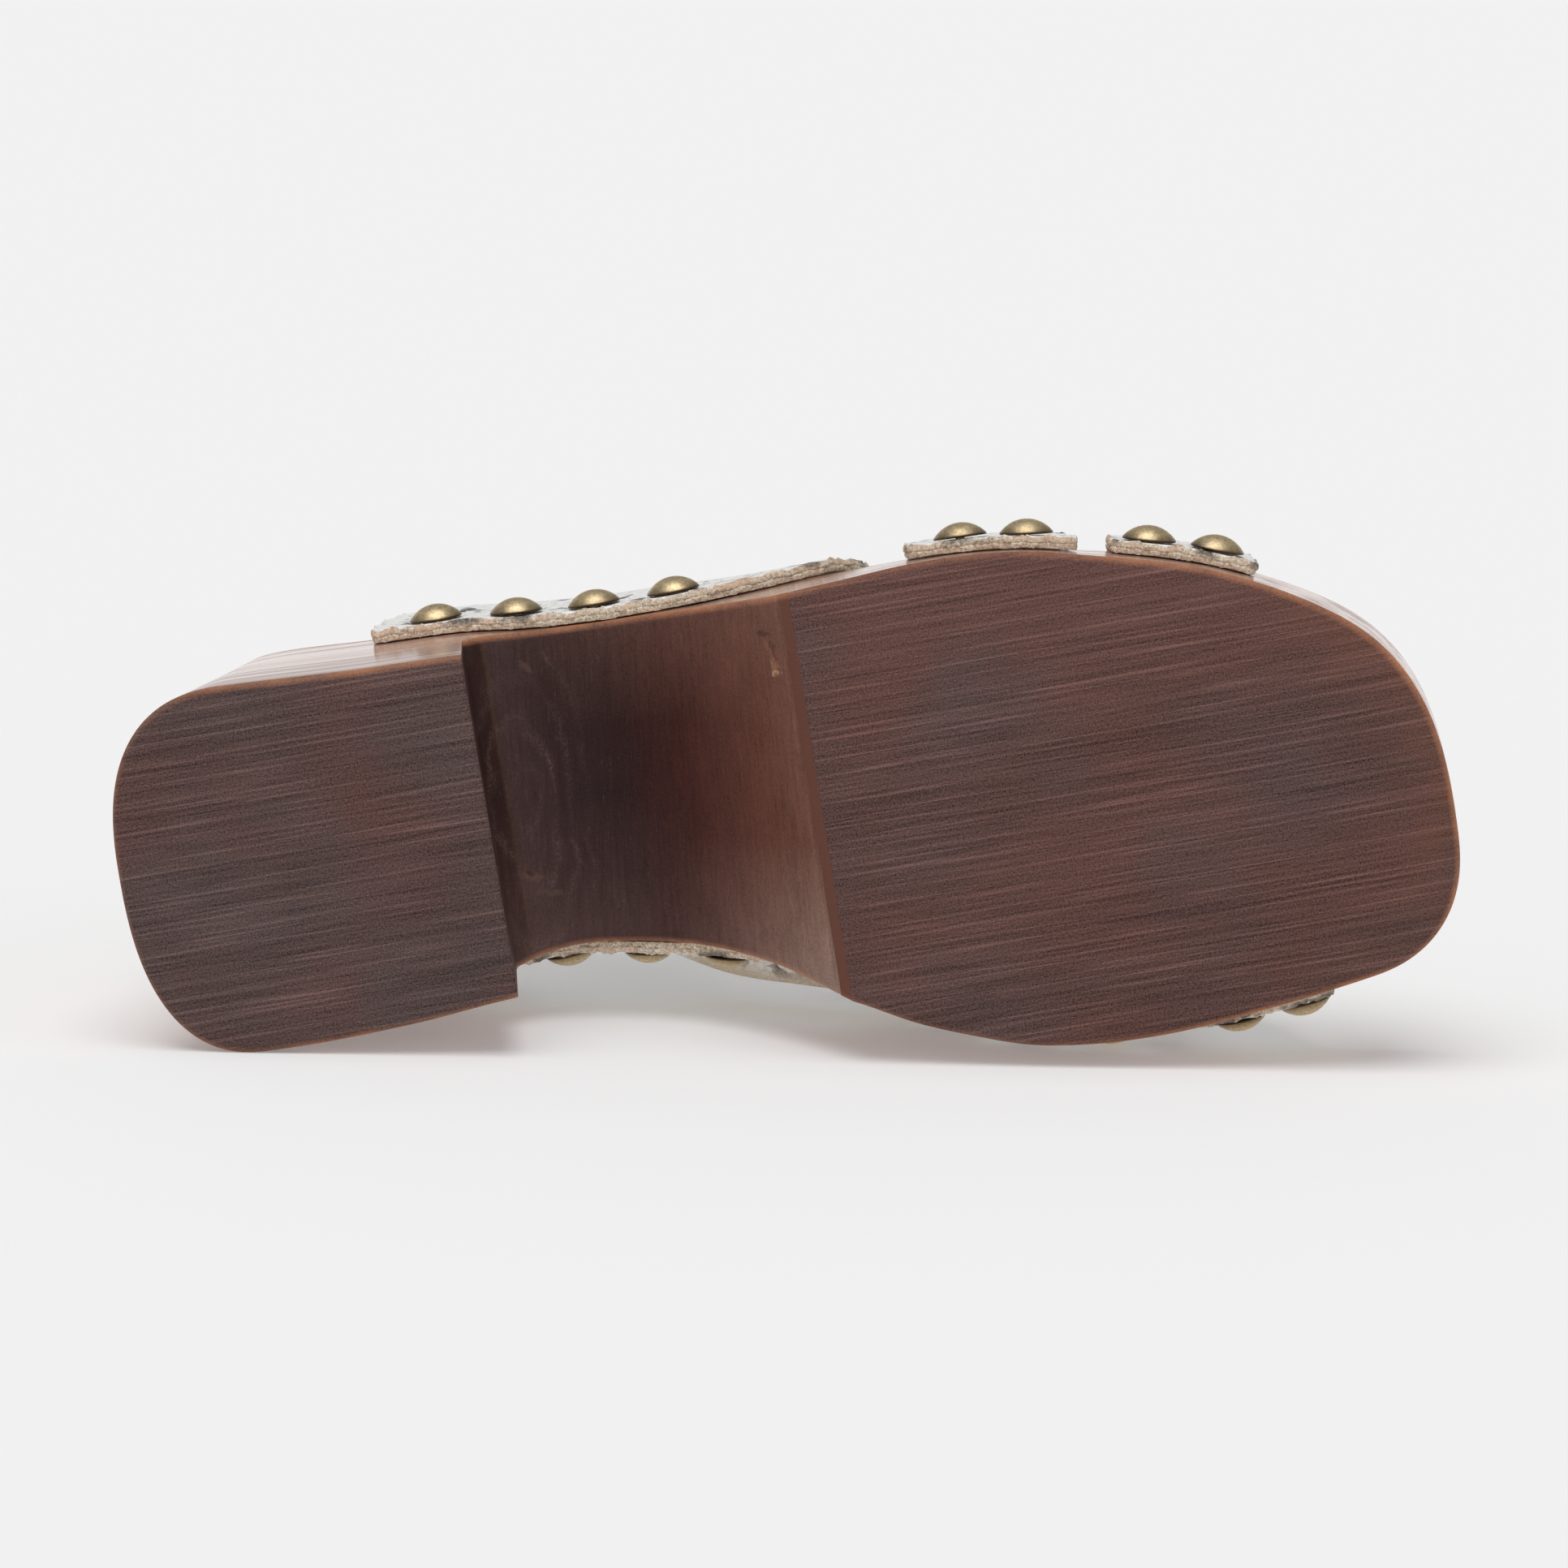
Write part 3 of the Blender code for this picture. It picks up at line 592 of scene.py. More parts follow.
def strap_grid(cut):
    """Stations and run values of a strap's grid of points, rear edge to front edge."""
    q = run_values(cut["steps"][0])
    rear, front = edge_lines(cut, q)
    share = np.linspace(0.0, 1.0, cut["steps"][1])
    station = rear[:, None] + (front - rear)[:, None] * share
    return station, np.broadcast_to(q[:, None], station.shape)


print("straps:", ", ".join(STRAPS))

# %% [markdown]
# ## Where the nails go
# The nails sit in rows a little above each strap's lower edge. A nail's seat is the strap's outer face
# there, and it points along the strap's normal. They could be placed by eye, but a nail that is set by the
# strap's own formula touches it seen from any side.

# %% Nail seats
STUD_RADIUS = 5.1
STUD_RISE = 6.2
STUD_SEAT = 0.06
SEAT_PROBES = 24
STUD_ROWS = {
    "band": {"inner": (63.5, 79.2, 95.0, 110.5), "outer": (63.7, 79.4, 95.0, 110.8)},
    "ball": {"inner": (168.5, 181.0), "outer": (166.5, 178.7)},
    "toe": {"inner": (205.0, 217.0), "outer": (200.8, 212.6)},
}


def stud_seat(station, side):
    """Middle and direction of a nail's head, clear of the highest point of the strap under its rim."""
    angle = np.linspace(0.0, 2 * math.pi, SEAT_PROBES, endpoint=False)
    stations = station + STUD_RADIUS * np.append(0.0, np.cos(angle))
    heights = STUD_RISE + STUD_RADIUS * np.append(0.0, np.sin(angle))
    q = WALL_SHARE / STRAP_DROP * heights
    q = q if side == "inner" else 1.0 - q
    normals = foot_normal(stations, q)
    outside = foot_point(stations, q) + STRAP_THICKNESS * normals
    proud = ((outside - outside[0]) @ normals[0]).max()
    return outside[0] + (STUD_SEAT + proud) * normals[0], normals[0]


SEATS = {
    f"stud_{row}_{side}_{number}": stud_seat(station, side)
    for row, sides in STUD_ROWS.items()
    for side, stations in sides.items()
    for number, station in enumerate(stations, start=1)
}
seat_points = np.array([seat for seat, _ in SEATS.values()])
print(len(SEATS), "nails")

# %% [markdown]
# ## Creases
# Leather that has been bent over a foot keeps soft troughs, so a few are placed from a table. The nails pull
# the face down around their heads. Sculpting would do the same, but a row of the table is a trough that can
# be moved.

# %% Creases
CREASES = {
    "instep_band": (
        (122.0, 0.30, 5.0, 0.10, 0.9),
        (104.0, 0.34, 4.0, 0.12, 0.7),
        (126.0, 0.70, 5.0, 0.10, 0.9),
        (108.0, 0.66, 4.0, 0.10, 0.6),
        (138.0, 0.50, 4.0, 0.16, 0.6),
    ),
    "ball_strap": ((172.0, 0.22, 4.0, 0.05, 0.5), (174.0, 0.76, 4.0, 0.05, 0.5)),
    "toe_strap": ((208.0, 0.24, 4.0, 0.05, 0.4), (206.0, 0.74, 4.0, 0.05, 0.4)),
}
NAIL_DENT = 0.4
DENT_REACH = 7.0


def crease_depth(name, station, q):
    """Sum of soft troughs: depth * exp(-(ds / reach)^2 - (dq / reach)^2) for each row."""
    depth = np.zeros_like(station)
    for s0, q0, reach_s, reach_q, deep in CREASES[name]:
        depth += deep * np.exp(-((station - s0) / reach_s) ** 2 - ((q - q0) / reach_q) ** 2)
    return depth


def nail_dent(points):
    """How far the nails pull the face down: dent * exp(-(distance to the nearest seat / reach)^2)."""
    nearest = np.linalg.norm(points[:, :, None, :] - seat_points, axis=-1).min(axis=-1)
    return NAIL_DENT * np.exp(-(nearest / DENT_REACH) ** 2)


print("creases:", {name: len(rows) for name, rows in CREASES.items()})

# %% [markdown]
# ## Cut edges
# The straps are cut from two plies and left raw. Going round a strap's outline, each ply's edge wanders by
# fractions of a millimetre and sheds fibres, and a fine line shows where the plies are glued. A bump in the
# material could roughen the edge, but the frayed line shows against the light, so it is geometry.

# %% Edge profile
PLY_LINE = 0.45
PLY_GROOVE = 0.14
PLY_GROOVE_REACH = 0.05
EDGE_STEPS = np.array([0.06, 0.16, 0.28, 0.37, 0.42, 0.45, 0.48, 0.53, 0.62, 0.74, 0.86, 0.95])
EDGE_SWELL = 0.3
FRAY = 0.14
FRAY_LENGTHS = np.geomspace(0.9, 12.0, 18)
FRAY_WEIGHTS = FRAY_LENGTHS ** 0.3
FUZZ = 0.2
FUZZ_INWARD = 0.26
FUZZ_OUTWARD = 0.42


def fray(distance, seed):
    """Rough line along a cut edge: a sum of sine waves of 0.9 to 12 mm with fixed random phases."""
    draw = np.random.default_rng(seed)
    phases = draw.uniform(0.0, 2 * math.pi, len(FRAY_LENGTHS))
    waves = np.sin(2 * math.pi * distance[:, None] / FRAY_LENGTHS + phases) * FRAY_WEIGHTS
    return waves.sum(axis=1) / np.sqrt((FRAY_WEIGHTS ** 2).sum() / 2)


def run_length(points):
    """Distance of each point from the first, along the line that joins them."""
    return np.append(0.0, np.cumsum(np.linalg.norm(np.diff(points, axis=0), axis=-1)))


def fuzz(points, seed):
    """How far a ply's line strays up or down along a border: a fray, cut off at its limits."""
    return np.clip(FUZZ * fray(run_length(points), seed), -FUZZ_INWARD, FUZZ_OUTWARD)


def outline_order(rows, columns):
    """Indices of a grid's border, once round, starting along the rear edge."""
    index = np.arange(rows * columns).reshape(rows, columns)
    return np.concatenate([index[:-1, 0], index[-1, :-1], index[:0:-1, -1], index[0, :0:-1]])


def edge_loops(skin, outside, normal, border, seed):
    """Points across the thickness at each border point: straight, then swollen, grooved and frayed."""
    below, above, out = (grid.reshape(-1, 3)[border] for grid in (skin, outside, normal))
    tangent = np.roll(below, -1, axis=0) - np.roll(below, 1, axis=0)
    away = np.cross(tangent, out)
    away /= np.linalg.norm(away, axis=-1, keepdims=True)
    rear = len(skin) - 1
    towards_front = skin[:-1, 1] - skin[:-1, 0]
    away *= -np.sign((away[:rear] * towards_front).sum())
    length = run_length(below)
    rough = FRAY * np.stack([fray(length, seed), fray(length, seed + 1)])
    swell = EDGE_SWELL * np.sqrt(np.sin(math.pi * EDGE_STEPS))
    swell = swell - PLY_GROOVE * np.exp(-((EDGE_STEPS - PLY_LINE) / PLY_GROOVE_REACH) ** 2)
    ply = np.where(EDGE_STEPS < PLY_LINE, rough[0][:, None], rough[1][:, None])
    stray = np.outer(fuzz(below, seed + 2), np.clip(1 - EDGE_STEPS / PLY_LINE, 0.0, 1.0))
    across = below[:, None, :] + (above - below)[:, None, :] * EDGE_STEPS[:, None]
    across = across + out[:, None, :] * stray[..., None]
    return across + away[:, None, :] * (swell + ply)[..., None]


print(len(EDGE_STEPS), "points across the edge")

# %% [markdown]
# ## Leather shells
# A strap is two faces, the grain side and the flesh side, joined by the cut edge. A Solidify modifier could
# give the thickness, but its edge would be smooth, so the three surfaces are joined point by point. Where the
# band swells out on the inner side, next to the floor, the white print below the swell is painted tan with
# fibres as painted shade, and a mask remembers where.

# %% Strap pieces
# The strip below the band's swell, next to the floor, is painted tan as shade over the white print.
SWELL_SHADE_REACH = 3.0
TURNED_SOFT = 0.5
TURNED_RUN = (100.0, 106.0)
TURNED_END = 150.0
TURNED_SIDE = 0.35
TURNED_GRID = (80, 60)
TURNED_SPARE = 0.02
SEED_STEP = 10


def swell_shade(station, q, outside):
    """Mask of the strip painted as shade: points below the swell whose y is within a few millimetres of its
    widest.
    """
    line = np.linspace(TURNED_RUN[0], TURNED_END, TURNED_GRID[0])
    runs = np.linspace(0.0, TURNED_SIDE, TURNED_GRID[1])
    swell = foot_point(line[:, None], runs) + STRAP_THICKNESS * foot_normal(line[:, None], runs)
    widest = np.interp(station, line, swell[..., 1].max(axis=1))
    widest_q = np.interp(station, line, runs[swell[..., 1].argmax(axis=1)])
    strip = ease((outside[..., 1] - widest + SWELL_SHADE_REACH) / TURNED_SOFT) * (q < widest_q + TURNED_SPARE)
    return strip * ease((station - TURNED_RUN[0]) / (TURNED_RUN[1] - TURNED_RUN[0]))


def strap_piece(name, seed):
    """Closed strap: skin grid, outer grid, and the edge loops that join their borders."""
    station, q = strap_grid(STRAPS[name])
    rows, columns = station.shape
    normal = foot_normal(station, q)
    rub_and_shade = np.zeros_like(station)
    skin = foot_point(station, q) - crease_depth(name, station, q)[..., None] * normal
    outside = skin + STRAP_THICKNESS * normal
    # On the instep band, the strip below the swell gets painted shade.
    if name == "instep_band":
        rub_and_shade = swell_shade(station, q, outside)
    outside = outside - nail_dent(outside)[..., None] * normal
    border = outline_order(rows, columns)
    rise = fuzz(outside.reshape(-1, 3)[border], seed + 3)
    outside.reshape(-1, 3)[border] += rise[:, None] * normal.reshape(-1, 3)[border]
    loops = edge_loops(skin, outside, normal, border, seed)
    count, across = rows * columns, loops.shape[1]
    points = np.concatenate([skin.reshape(-1, 3), outside.reshape(-1, 3), loops.reshape(-1, 3)])
    between = 2 * count + np.arange(len(border) * across).reshape(-1, across)
    ladder = np.column_stack([border, between, border + count])
    after = np.roll(ladder, -1, axis=0)
    edge = np.stack([ladder[:, :-1], after[:, :-1], after[:, 1:], ladder[:, 1:]], axis=-1).reshape(-1, 4)
    quads = [grid_quads(rows, columns)[:, ::-1], grid_quads(rows, columns, start=count), edge]
    none = np.zeros(len(border) * across)
    masks = {
        "layer": np.concatenate([np.zeros(count), np.ones(count), np.tile(EDGE_STEPS, len(border))]),
        "raw_edge": np.concatenate([np.zeros(2 * count), none + 1]),
        "swell_shade": np.concatenate([np.zeros(count), rub_and_shade.ravel(), none]),
    }
    return add_piece(name + "_leather", points, np.concatenate(quads), masks)


straps = {name: strap_piece(name, SEED_STEP * i) for i, name in enumerate(STRAPS, start=1)}
for name, piece in straps.items():
    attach(piece, "root")
    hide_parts(name)

# %% [markdown]
# ## Domed nails
# A nail is a turned shape: a dome with a small rolled rim, hollow underneath, on a shank that goes through
# the leather into the wood. A profile is turned about the nail's axis. Each nail is driven in by hand, so
# each leans a few degrees its own way. A Screw modifier could turn it too, but with numpy the turned points
# go straight to their seat.

# %% Nail pieces
STUD_HEIGHT = 2.9
RIM_LIFT = 0.35
CAP_HEIGHT = STUD_HEIGHT - RIM_LIFT
CAP_BALL = (STUD_RADIUS ** 2 + CAP_HEIGHT ** 2) / (2 * CAP_HEIGHT)
SHANK_RADIUS = 0.9
SHANK_LENGTH = 11.0
SHANK_TIP = 1.5
SHANK_ROOT = 1.2
ROLLED_RIM = ((0.02, 0.26), (0.03, 0.16), (-0.02, 0.06), (-0.12, 0.0), (-0.4, 0.0))
HOLLOW = ((4.2, 0.3), (2.6, 0.9))
DOME_POINTS = 18
STUD_SIDES = 40
STUD_SHARP = 60.0
STUD_LEAN = math.radians(2.5)
STUD_SEED = 7


def stud_profile():
    """Radius and height from the top of the dome, over the rim and the hollow, to the shank's tip."""
    angle = np.linspace(0.0, math.asin(STUD_RADIUS / CAP_BALL), DOME_POINTS)
    dome = np.stack([CAP_BALL * np.sin(angle), STUD_HEIGHT - CAP_BALL * (1 - np.cos(angle))], -1)
    rim = np.array(ROLLED_RIM) + (STUD_RADIUS, 0.0)
    shank = [(SHANK_RADIUS, SHANK_ROOT), (SHANK_RADIUS, SHANK_TIP - SHANK_LENGTH), (0.0, -SHANK_LENGTH)]
    return np.concatenate([dome, rim, HOLLOW, shank])


def stud_piece(name, seat, normal, draw):
    """Profile turned about the nail's axis and set on its seat."""
    profile = stud_profile()
    angle = np.linspace(0.0, 2 * math.pi, STUD_SIDES, endpoint=False)
    radius, height = profile[:, :1], np.broadcast_to(profile[:, 1:], (len(profile), STUD_SIDES))
    local = np.stack([radius * np.cos(angle), radius * np.sin(angle), height], axis=-1)
    tip, roll = draw.uniform(-STUD_LEAN, STUD_LEAN, 2)
    turn = Vector(normal).to_track_quat("Z", "Y").to_matrix()
    turn = turn @ Matrix.Rotation(tip, 3, "X") @ Matrix.Rotation(roll, 3, "Y")
    points = local.reshape(-1, 3) @ np.array(turn).T + seat
    masks = {"dome": np.repeat(np.clip(profile[:, 1] / STUD_HEIGHT, 0.0, 1.0), STUD_SIDES)}
    quads = grid_quads(len(profile), STUD_SIDES, wrap=True)
    return add_piece(name + "_dome", points, quads, masks, STUD_SHARP)


draw = np.random.default_rng(STUD_SEED)
studs = {name: stud_piece(name, seat, normal, draw) for name, (seat, normal) in SEATS.items()}
for name, piece in studs.items():
    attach(piece, "root")
    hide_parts(name)

# %% [markdown]
# ## A short way to write nodes
# A material is a tree of nodes. One helper adds a node, links what is a socket and sets what is a number,
# so that each finish below reads as a list of what it is made of. The nodes could be placed by hand in the
# shader editor, but code gives the same tree on every run.

# %% Node helpers
COLOUR_A, COLOUR_B, COLOUR_OUT = 6, 7, 2


def fill(tree, node, sockets):
    """Link each socket that is given as an output, and set each that is given as a value."""
    for key, value in sockets.items():
        if isinstance(value, bpy.types.NodeSocket):
            tree.links.new(value, node.inputs[key])
        else:
            node.inputs[key].default_value = value


def add(tree, kind, sockets=None, out=0, **settings):
    """Add a node, fill its sockets and return one of its outputs."""
    node = tree.nodes.new("ShaderNode" + kind)
    for key, value in settings.items():
        setattr(node, key, value)
    fill(tree, node, sockets or {})
    return node.outputs[out]


def blend(tree, share, first, second, mode="MIX"):
    """Mix of two colours by a share."""
    sockets = {0: share, COLOUR_A: first, COLOUR_B: second}
    return add(tree, "Mix", sockets, COLOUR_OUT, data_type="RGBA", blend_type=mode)


def ramp(tree, value, *stops):
    """Level or colour through straight pieces: (place, level or colour) pairs."""
    node = tree.nodes.new("ShaderNodeValToRGB")
    elements = node.color_ramp.elements
    while len(elements) < len(stops):
        elements.new(0.5)
    for element, (position, level) in zip(elements, stops):
        element.position = position
        element.color = level if isinstance(level, tuple) else (level, level, level, 1.0)
    tree.links.new(value, node.inputs[0])
    return node.outputs[0]


def calc(tree, operation, *values, clamp=False):
    """One step of arithmetic."""
    return add(tree, "Math", dict(enumerate(values)), operation=operation, use_clamp=clamp)


def times(tree, first, *others):
    """Product of two or more values."""
    for other in others:
        first = calc(tree, "MULTIPLY", first, other)
    return first


def total(tree, base, *pairs):
    """Base plus weight * value for each (weight, value) pair."""
    for weight, value in pairs:
        base = calc(tree, "MULTIPLY_ADD", value, weight, base)
    return base


def noise(tree, vector, scale, detail, roughness=0.5, out="Fac"):
    """Noise on the given coordinates."""
    sockets = {"Vector": vector, "Scale": scale, "Detail": detail, "Roughness": roughness}
    return add(tree, "TexNoise", sockets, out)


def spread(tree, value, low, high):
    """Share from 0 at one value to 1 at another."""
    return add(tree, "MapRange", {"Value": value, "From Min": low, "From Max": high})


def weigh(tree, middle, *pairs):
    """Middle plus weight * (value - 0.5) for each (weight, value) pair, kept between 0 and 1."""
    tone = total(tree, middle, *((weight, calc(tree, "SUBTRACT", value, 0.5)) for weight, value in pairs))
    return calc(tree, "MAXIMUM", calc(tree, "MINIMUM", tone, 1.0), 0.0)


def srgb(red, green, blue):
    """Linear colour of an sRGB colour given in 0 to 255, by the sRGB curve."""
    share = np.array([red, green, blue]) / 255.0
    linear = np.where(share <= 0.04045, share / 12.92, ((share + 0.055) / 1.055) ** 2.4)
    return (*linear.tolist(), 1.0)


def new_material(name, **constants):
    """Material with its Principled shader, whose constants are set, and its tree."""
    material = bpy.data.materials.new(name)
    material.use_nodes = True
    shader = material.node_tree.nodes["Principled BSDF"]
    for key, value in constants.items():
        shader.inputs[key.replace("_", " ").title().replace("Ior", "IOR")].default_value = value
    return material, material.node_tree, shader


def finish(tree, shader, colour, rough, relief, strength, depth):
    """Feed a shader its colour, its roughness and a bump, whose depth is in metres."""
    bump = add(tree, "Bump", {"Height": relief, "Strength": strength, "Distance": depth})
    fill(tree, shader, {"Base Color": colour, "Roughness": rough, "Normal": bump})


def shoe_place(tree):
    """The piece's own shoe coordinates, in millimetres."""
    return add(tree, "Attribute", attribute_name="shoe_mm", out="Vector")


def mask(tree, name):
    """One of the piece's own masks."""
    return add(tree, "Attribute", attribute_name=name, out="Fac")


print("node helpers ready")

# %% [markdown]
# ## Shared effects
# Saw marks, wood fibres and leather fibres are all long thin noise, so they are one node group: noise on
# coordinates that are squeezed along one direction. Grime is soft patches and small specks, used on every
# finish. Each finish places the same two groups with its own values, so a better streak would show
# everywhere at once.

# %% Node groups
COARSE_NOISE, FINE_NOISE = (0.32, 3.0, 0.55), (1.15, 4.0, 0.6)
PATCH_DETAIL = 3.0
SPECK_NOISE = (1.7, 5.0, 0.7)


def new_group(name, inputs, outputs):
    """Empty node group with named sockets; returns the tree, its input's outputs and its output's inputs."""
    tree = bpy.data.node_groups.new(name, "ShaderNodeTree")
    tree.interface.new_socket("Vector", in_out="INPUT", socket_type="NodeSocketVector")
    for label, value in inputs.items():
        socket = tree.interface.new_socket(label, in_out="INPUT", socket_type="NodeSocketFloat")
        socket.default_value = value
    for label in outputs:
        tree.interface.new_socket(label, in_out="OUTPUT", socket_type="NodeSocketFloat")
    return tree, tree.nodes.new("NodeGroupInput").outputs, tree.nodes.new("NodeGroupOutput").inputs


def streak_group():
    """Streaks: coarse and fine noise, stretched along the first axis of the given coordinates."""
    tree, given, result = new_group("streaks", {"Stretch": 30.0, "Width": 1.0}, ["Coarse", "Fine"])
    squeeze = calc(tree, "DIVIDE", 1.0, calc(tree, "MULTIPLY", given["Stretch"], given["Width"]))
    across = calc(tree, "DIVIDE", 1.0, given["Width"])
    scale = add(tree, "CombineXYZ", {0: squeeze, 1: across, 2: across})
    thin = add(tree, "VectorMath", {0: given["Vector"], 1: scale}, operation="MULTIPLY")
    tree.links.new(noise(tree, thin, *COARSE_NOISE), result["Coarse"])
    tree.links.new(noise(tree, thin, *FINE_NOISE), result["Fine"])
    return tree


def grime_group():
    """Grime: broad soft patches, and small specks whose size doesn't change."""
    tree, given, result = new_group("grime", {"Size": 20.0}, ["Patches", "Specks"])
    scale = calc(tree, "DIVIDE", 1.0, given["Size"])
    tree.links.new(noise(tree, given["Vector"], scale, PATCH_DETAIL), result["Patches"])
    tree.links.new(noise(tree, given["Vector"], *SPECK_NOISE), result["Specks"])
    return tree


GROUPS = {"streaks": streak_group(), "grime": grime_group()}


def use(tree, group, **sockets):
    """Place a shared effect in a material and return its outputs."""
    node = tree.nodes.new("ShaderNodeGroup")
    node.node_tree = GROUPS[group]
    fill(tree, node, sockets)
    return list(node.outputs)


def streaks(tree, vector, stretch, width):
    """Coarse and fine streaks of a width in millimetres, stretched by a factor."""
    return use(tree, "streaks", Vector=vector, Stretch=stretch, Width=width)


def grime(tree, vector, size):
    """Patches of a size in millimetres, and specks."""
    return use(tree, "grime", Vector=vector, Size=size)


print("groups:", ", ".join(GROUPS))

# %% [markdown]
# ## Tread
# The treads were sawn and stained dark, and the saw left fine lines along the foot, a few degrees askew.
# Dust sits in the lines, and the stain is redder in some patches and greyer in others. Three widths of
# streaks, specks and dust add up to one tone, which picks between a dark and a light stain, and the finest
# streaks also make pale scratches. A picture of sawn wood would repeat and blur up close, and noise does
# neither.

# %% Tread colour
GRAIN_TURN = math.radians(3.2)
GREY_DARK, GREY_LIGHT = srgb(26, 18, 18), srgb(126, 106, 103)
RED_DARK, RED_LIGHT = srgb(33, 15, 13), srgb(142, 101, 93)
TOE_TINT = srgb(128, 84, 60)
FLATTEN = (1.0, 1.0, 0.0)
BROAD_STREAKS, SAW_STREAKS, HAIR_STREAKS = (16.0, 2.6), (50.0, 0.5), (70.0, 0.2)
TREAD_PATCH = 34.0
TREAD_DUST = (3.2, 2.0, 0.8)
TREAD_MIDDLE = 0.415
LINE_WEIGHTS = (0.22, 0.3, 0.48, 0.6, 0.65)
DUST_WEIGHTS = (0.75, 1.6)
SCRATCH_LINES, SCRATCH_BREAKS = ((0.56, 0.0), (0.66, 1.0)), ((0.3, 0.3), (0.55, 1.0))
SCRATCH_TONE, SCRATCH_HEIGHT = 0.3, 0.5
OUTER_SIDE, OUTER_RUN, OUTER_GAIN = (-8.0, -42.0), (120.0, 150.0), 0.12
WARM_RUN, WARM_GAIN = (60.0, 150.0), 0.2
RED_STOPS = ((0.4, 0.05), (0.78, 0.95))
TOE_RUN, TOE_REACH, TOE_STOPS = (205.0, 250.0), (14.0, 0.0), ((0.42, 0.0), (0.6, 0.45))


def tread_colour(tree, here, ahead, inward):
    """Colour of the sawn treads, dark to light by the tone of their lines, and the height of the lines."""
    flat = add(tree, "VectorMath", {0: here, 1: FLATTEN}, operation="MULTIPLY")
    turned = add(tree, "Mapping", {"Vector": flat, "Rotation": (0.0, 0.0, GRAIN_TURN)})
    broad, _ = streaks(tree, turned, *BROAD_STREAKS)
    band, line = streaks(tree, turned, *SAW_STREAKS)
    thin, hair = streaks(tree, turned, *HAIR_STREAKS)
    patches, specks = grime(tree, flat, TREAD_PATCH)
    dust = noise(tree, flat, *TREAD_DUST)
    tone = weigh(tree, TREAD_MIDDLE, *zip(LINE_WEIGHTS, (broad, band, line, thin, hair)))
    tone = weigh(tree, tone, *zip(DUST_WEIGHTS, (specks, dust)))
    scratch = times(tree, ramp(tree, thin, *SCRATCH_LINES), ramp(tree, dust, *SCRATCH_BREAKS))
    tone = calc(tree, "MULTIPLY_ADD", scratch, SCRATCH_TONE, tone, clamp=True)
    outer = times(tree, spread(tree, inward, *OUTER_SIDE), spread(tree, ahead, *OUTER_RUN))
    warm = total(tree, patches, (WARM_GAIN, spread(tree, ahead, *WARM_RUN)), (OUTER_GAIN, outer))
    tone = total(tree, tone, (OUTER_GAIN, outer))
    red = ramp(tree, warm, *RED_STOPS)
    dark = blend(tree, red, GREY_DARK, RED_DARK)
    light = blend(tree, red, GREY_LIGHT, RED_LIGHT)
    colour = blend(tree, tone, dark, light)
    toe = times(tree, spread(tree, ahead, *TOE_RUN), spread(tree, mask(tree, "edge_gap"), *TOE_REACH))
    toe = times(tree, toe, ramp(tree, patches, *TOE_STOPS))
    return blend(tree, toe, colour, TOE_TINT), total(tree, tone, (SCRATCH_HEIGHT, scratch))


print("tread grain turned by %.1f degrees" % math.degrees(GRAIN_TURN))

# %% [markdown]
# ## Knot and knocks
# A knot near the breast shows as pale dotted ovals, and the waist has picked up a few knocks. Both could be
# painted on an image, but ellipses need none: the distance from a tilted ellipse's middle gives rings when
# it is folded, and a knock where it is below one.

# %% Rings and marks
KNOT, KNOT_HALF = (75.7, -1.0), (3.4, 9.4)
RING_PALE = srgb(128, 104, 96)
RING_WANDER, RING_BEND = (0.09, 3.0), 2.4
RING_FOLD, RING_STOPS = 0.5, ((0.0, 1.0), (0.3, 0.0))
DOT_NOISE, DOT_STOPS = (1.9, 2.0, 0.7), ((0.42, 0.1), (0.66, 1.0))
RING_OUTSIDE, RING_INSIDE = (6.0, 3.0), (1.5, 2.3)
RING_PATCH, RING_PATCHY = 14.0, ((0.4, 0.15), (0.6, 0.6))
MARKS = (
    (125.3, -31.8, 1.2, 0.5, 10.0, srgb(50, 29, 25), 0.5),
    (125.8, -29.2, 2.4, 0.5, 72.0, srgb(150, 100, 74), 0.4),
    (126.9, -28.4, 2.2, 0.4, 84.0, srgb(56, 33, 28), 0.45),
    (126.8, -25.4, 1.8, 0.7, 84.0, srgb(172, 122, 92), 0.5),
    (127.0, -24.4, 0.8, 0.5, 0.0, srgb(204, 164, 136), 0.6),
    (75.6, 13.2, 2.6, 0.9, 24.0, srgb(118, 86, 72), 0.5),
    (75.2, 12.6, 1.0, 0.5, 20.0, srgb(32, 21, 21), 0.6),
    (78.9, 17.1, 2.6, 0.7, 12.0, srgb(110, 86, 74), 0.35),
    (79.1, -27.1, 1.8, 0.6, 50.0, srgb(116, 86, 72), 0.4),
    (83.0, -28.3, 1.6, 0.4, 65.0, srgb(110, 84, 72), 0.35),
)
MARK_NOISE, MARK_RAGGED, MARK_SOFT = (0.9, 3.0), 2.2, (1.2, 0.6)


def ellipse(tree, here, x, y, half_length, half_width, degrees):
    """Distance from a tilted ellipse's middle, 1 on its outline: length of (turned offset / half sizes)."""
    offset = add(tree, "VectorMath", {0: here, 1: (-x, -y, 0.0)}, operation="ADD")
    flat = add(tree, "VectorMath", {0: offset, 1: FLATTEN}, operation="MULTIPLY")
    turned = add(tree, "Mapping", {"Vector": flat, "Rotation": (0.0, 0.0, math.radians(-degrees))})
    scale = (1 / half_length, 1 / half_width, 1.0)
    share = add(tree, "VectorMath", {0: turned, 1: scale}, operation="MULTIPLY")
    return add(tree, "VectorMath", {0: share}, "Value", operation="LENGTH")


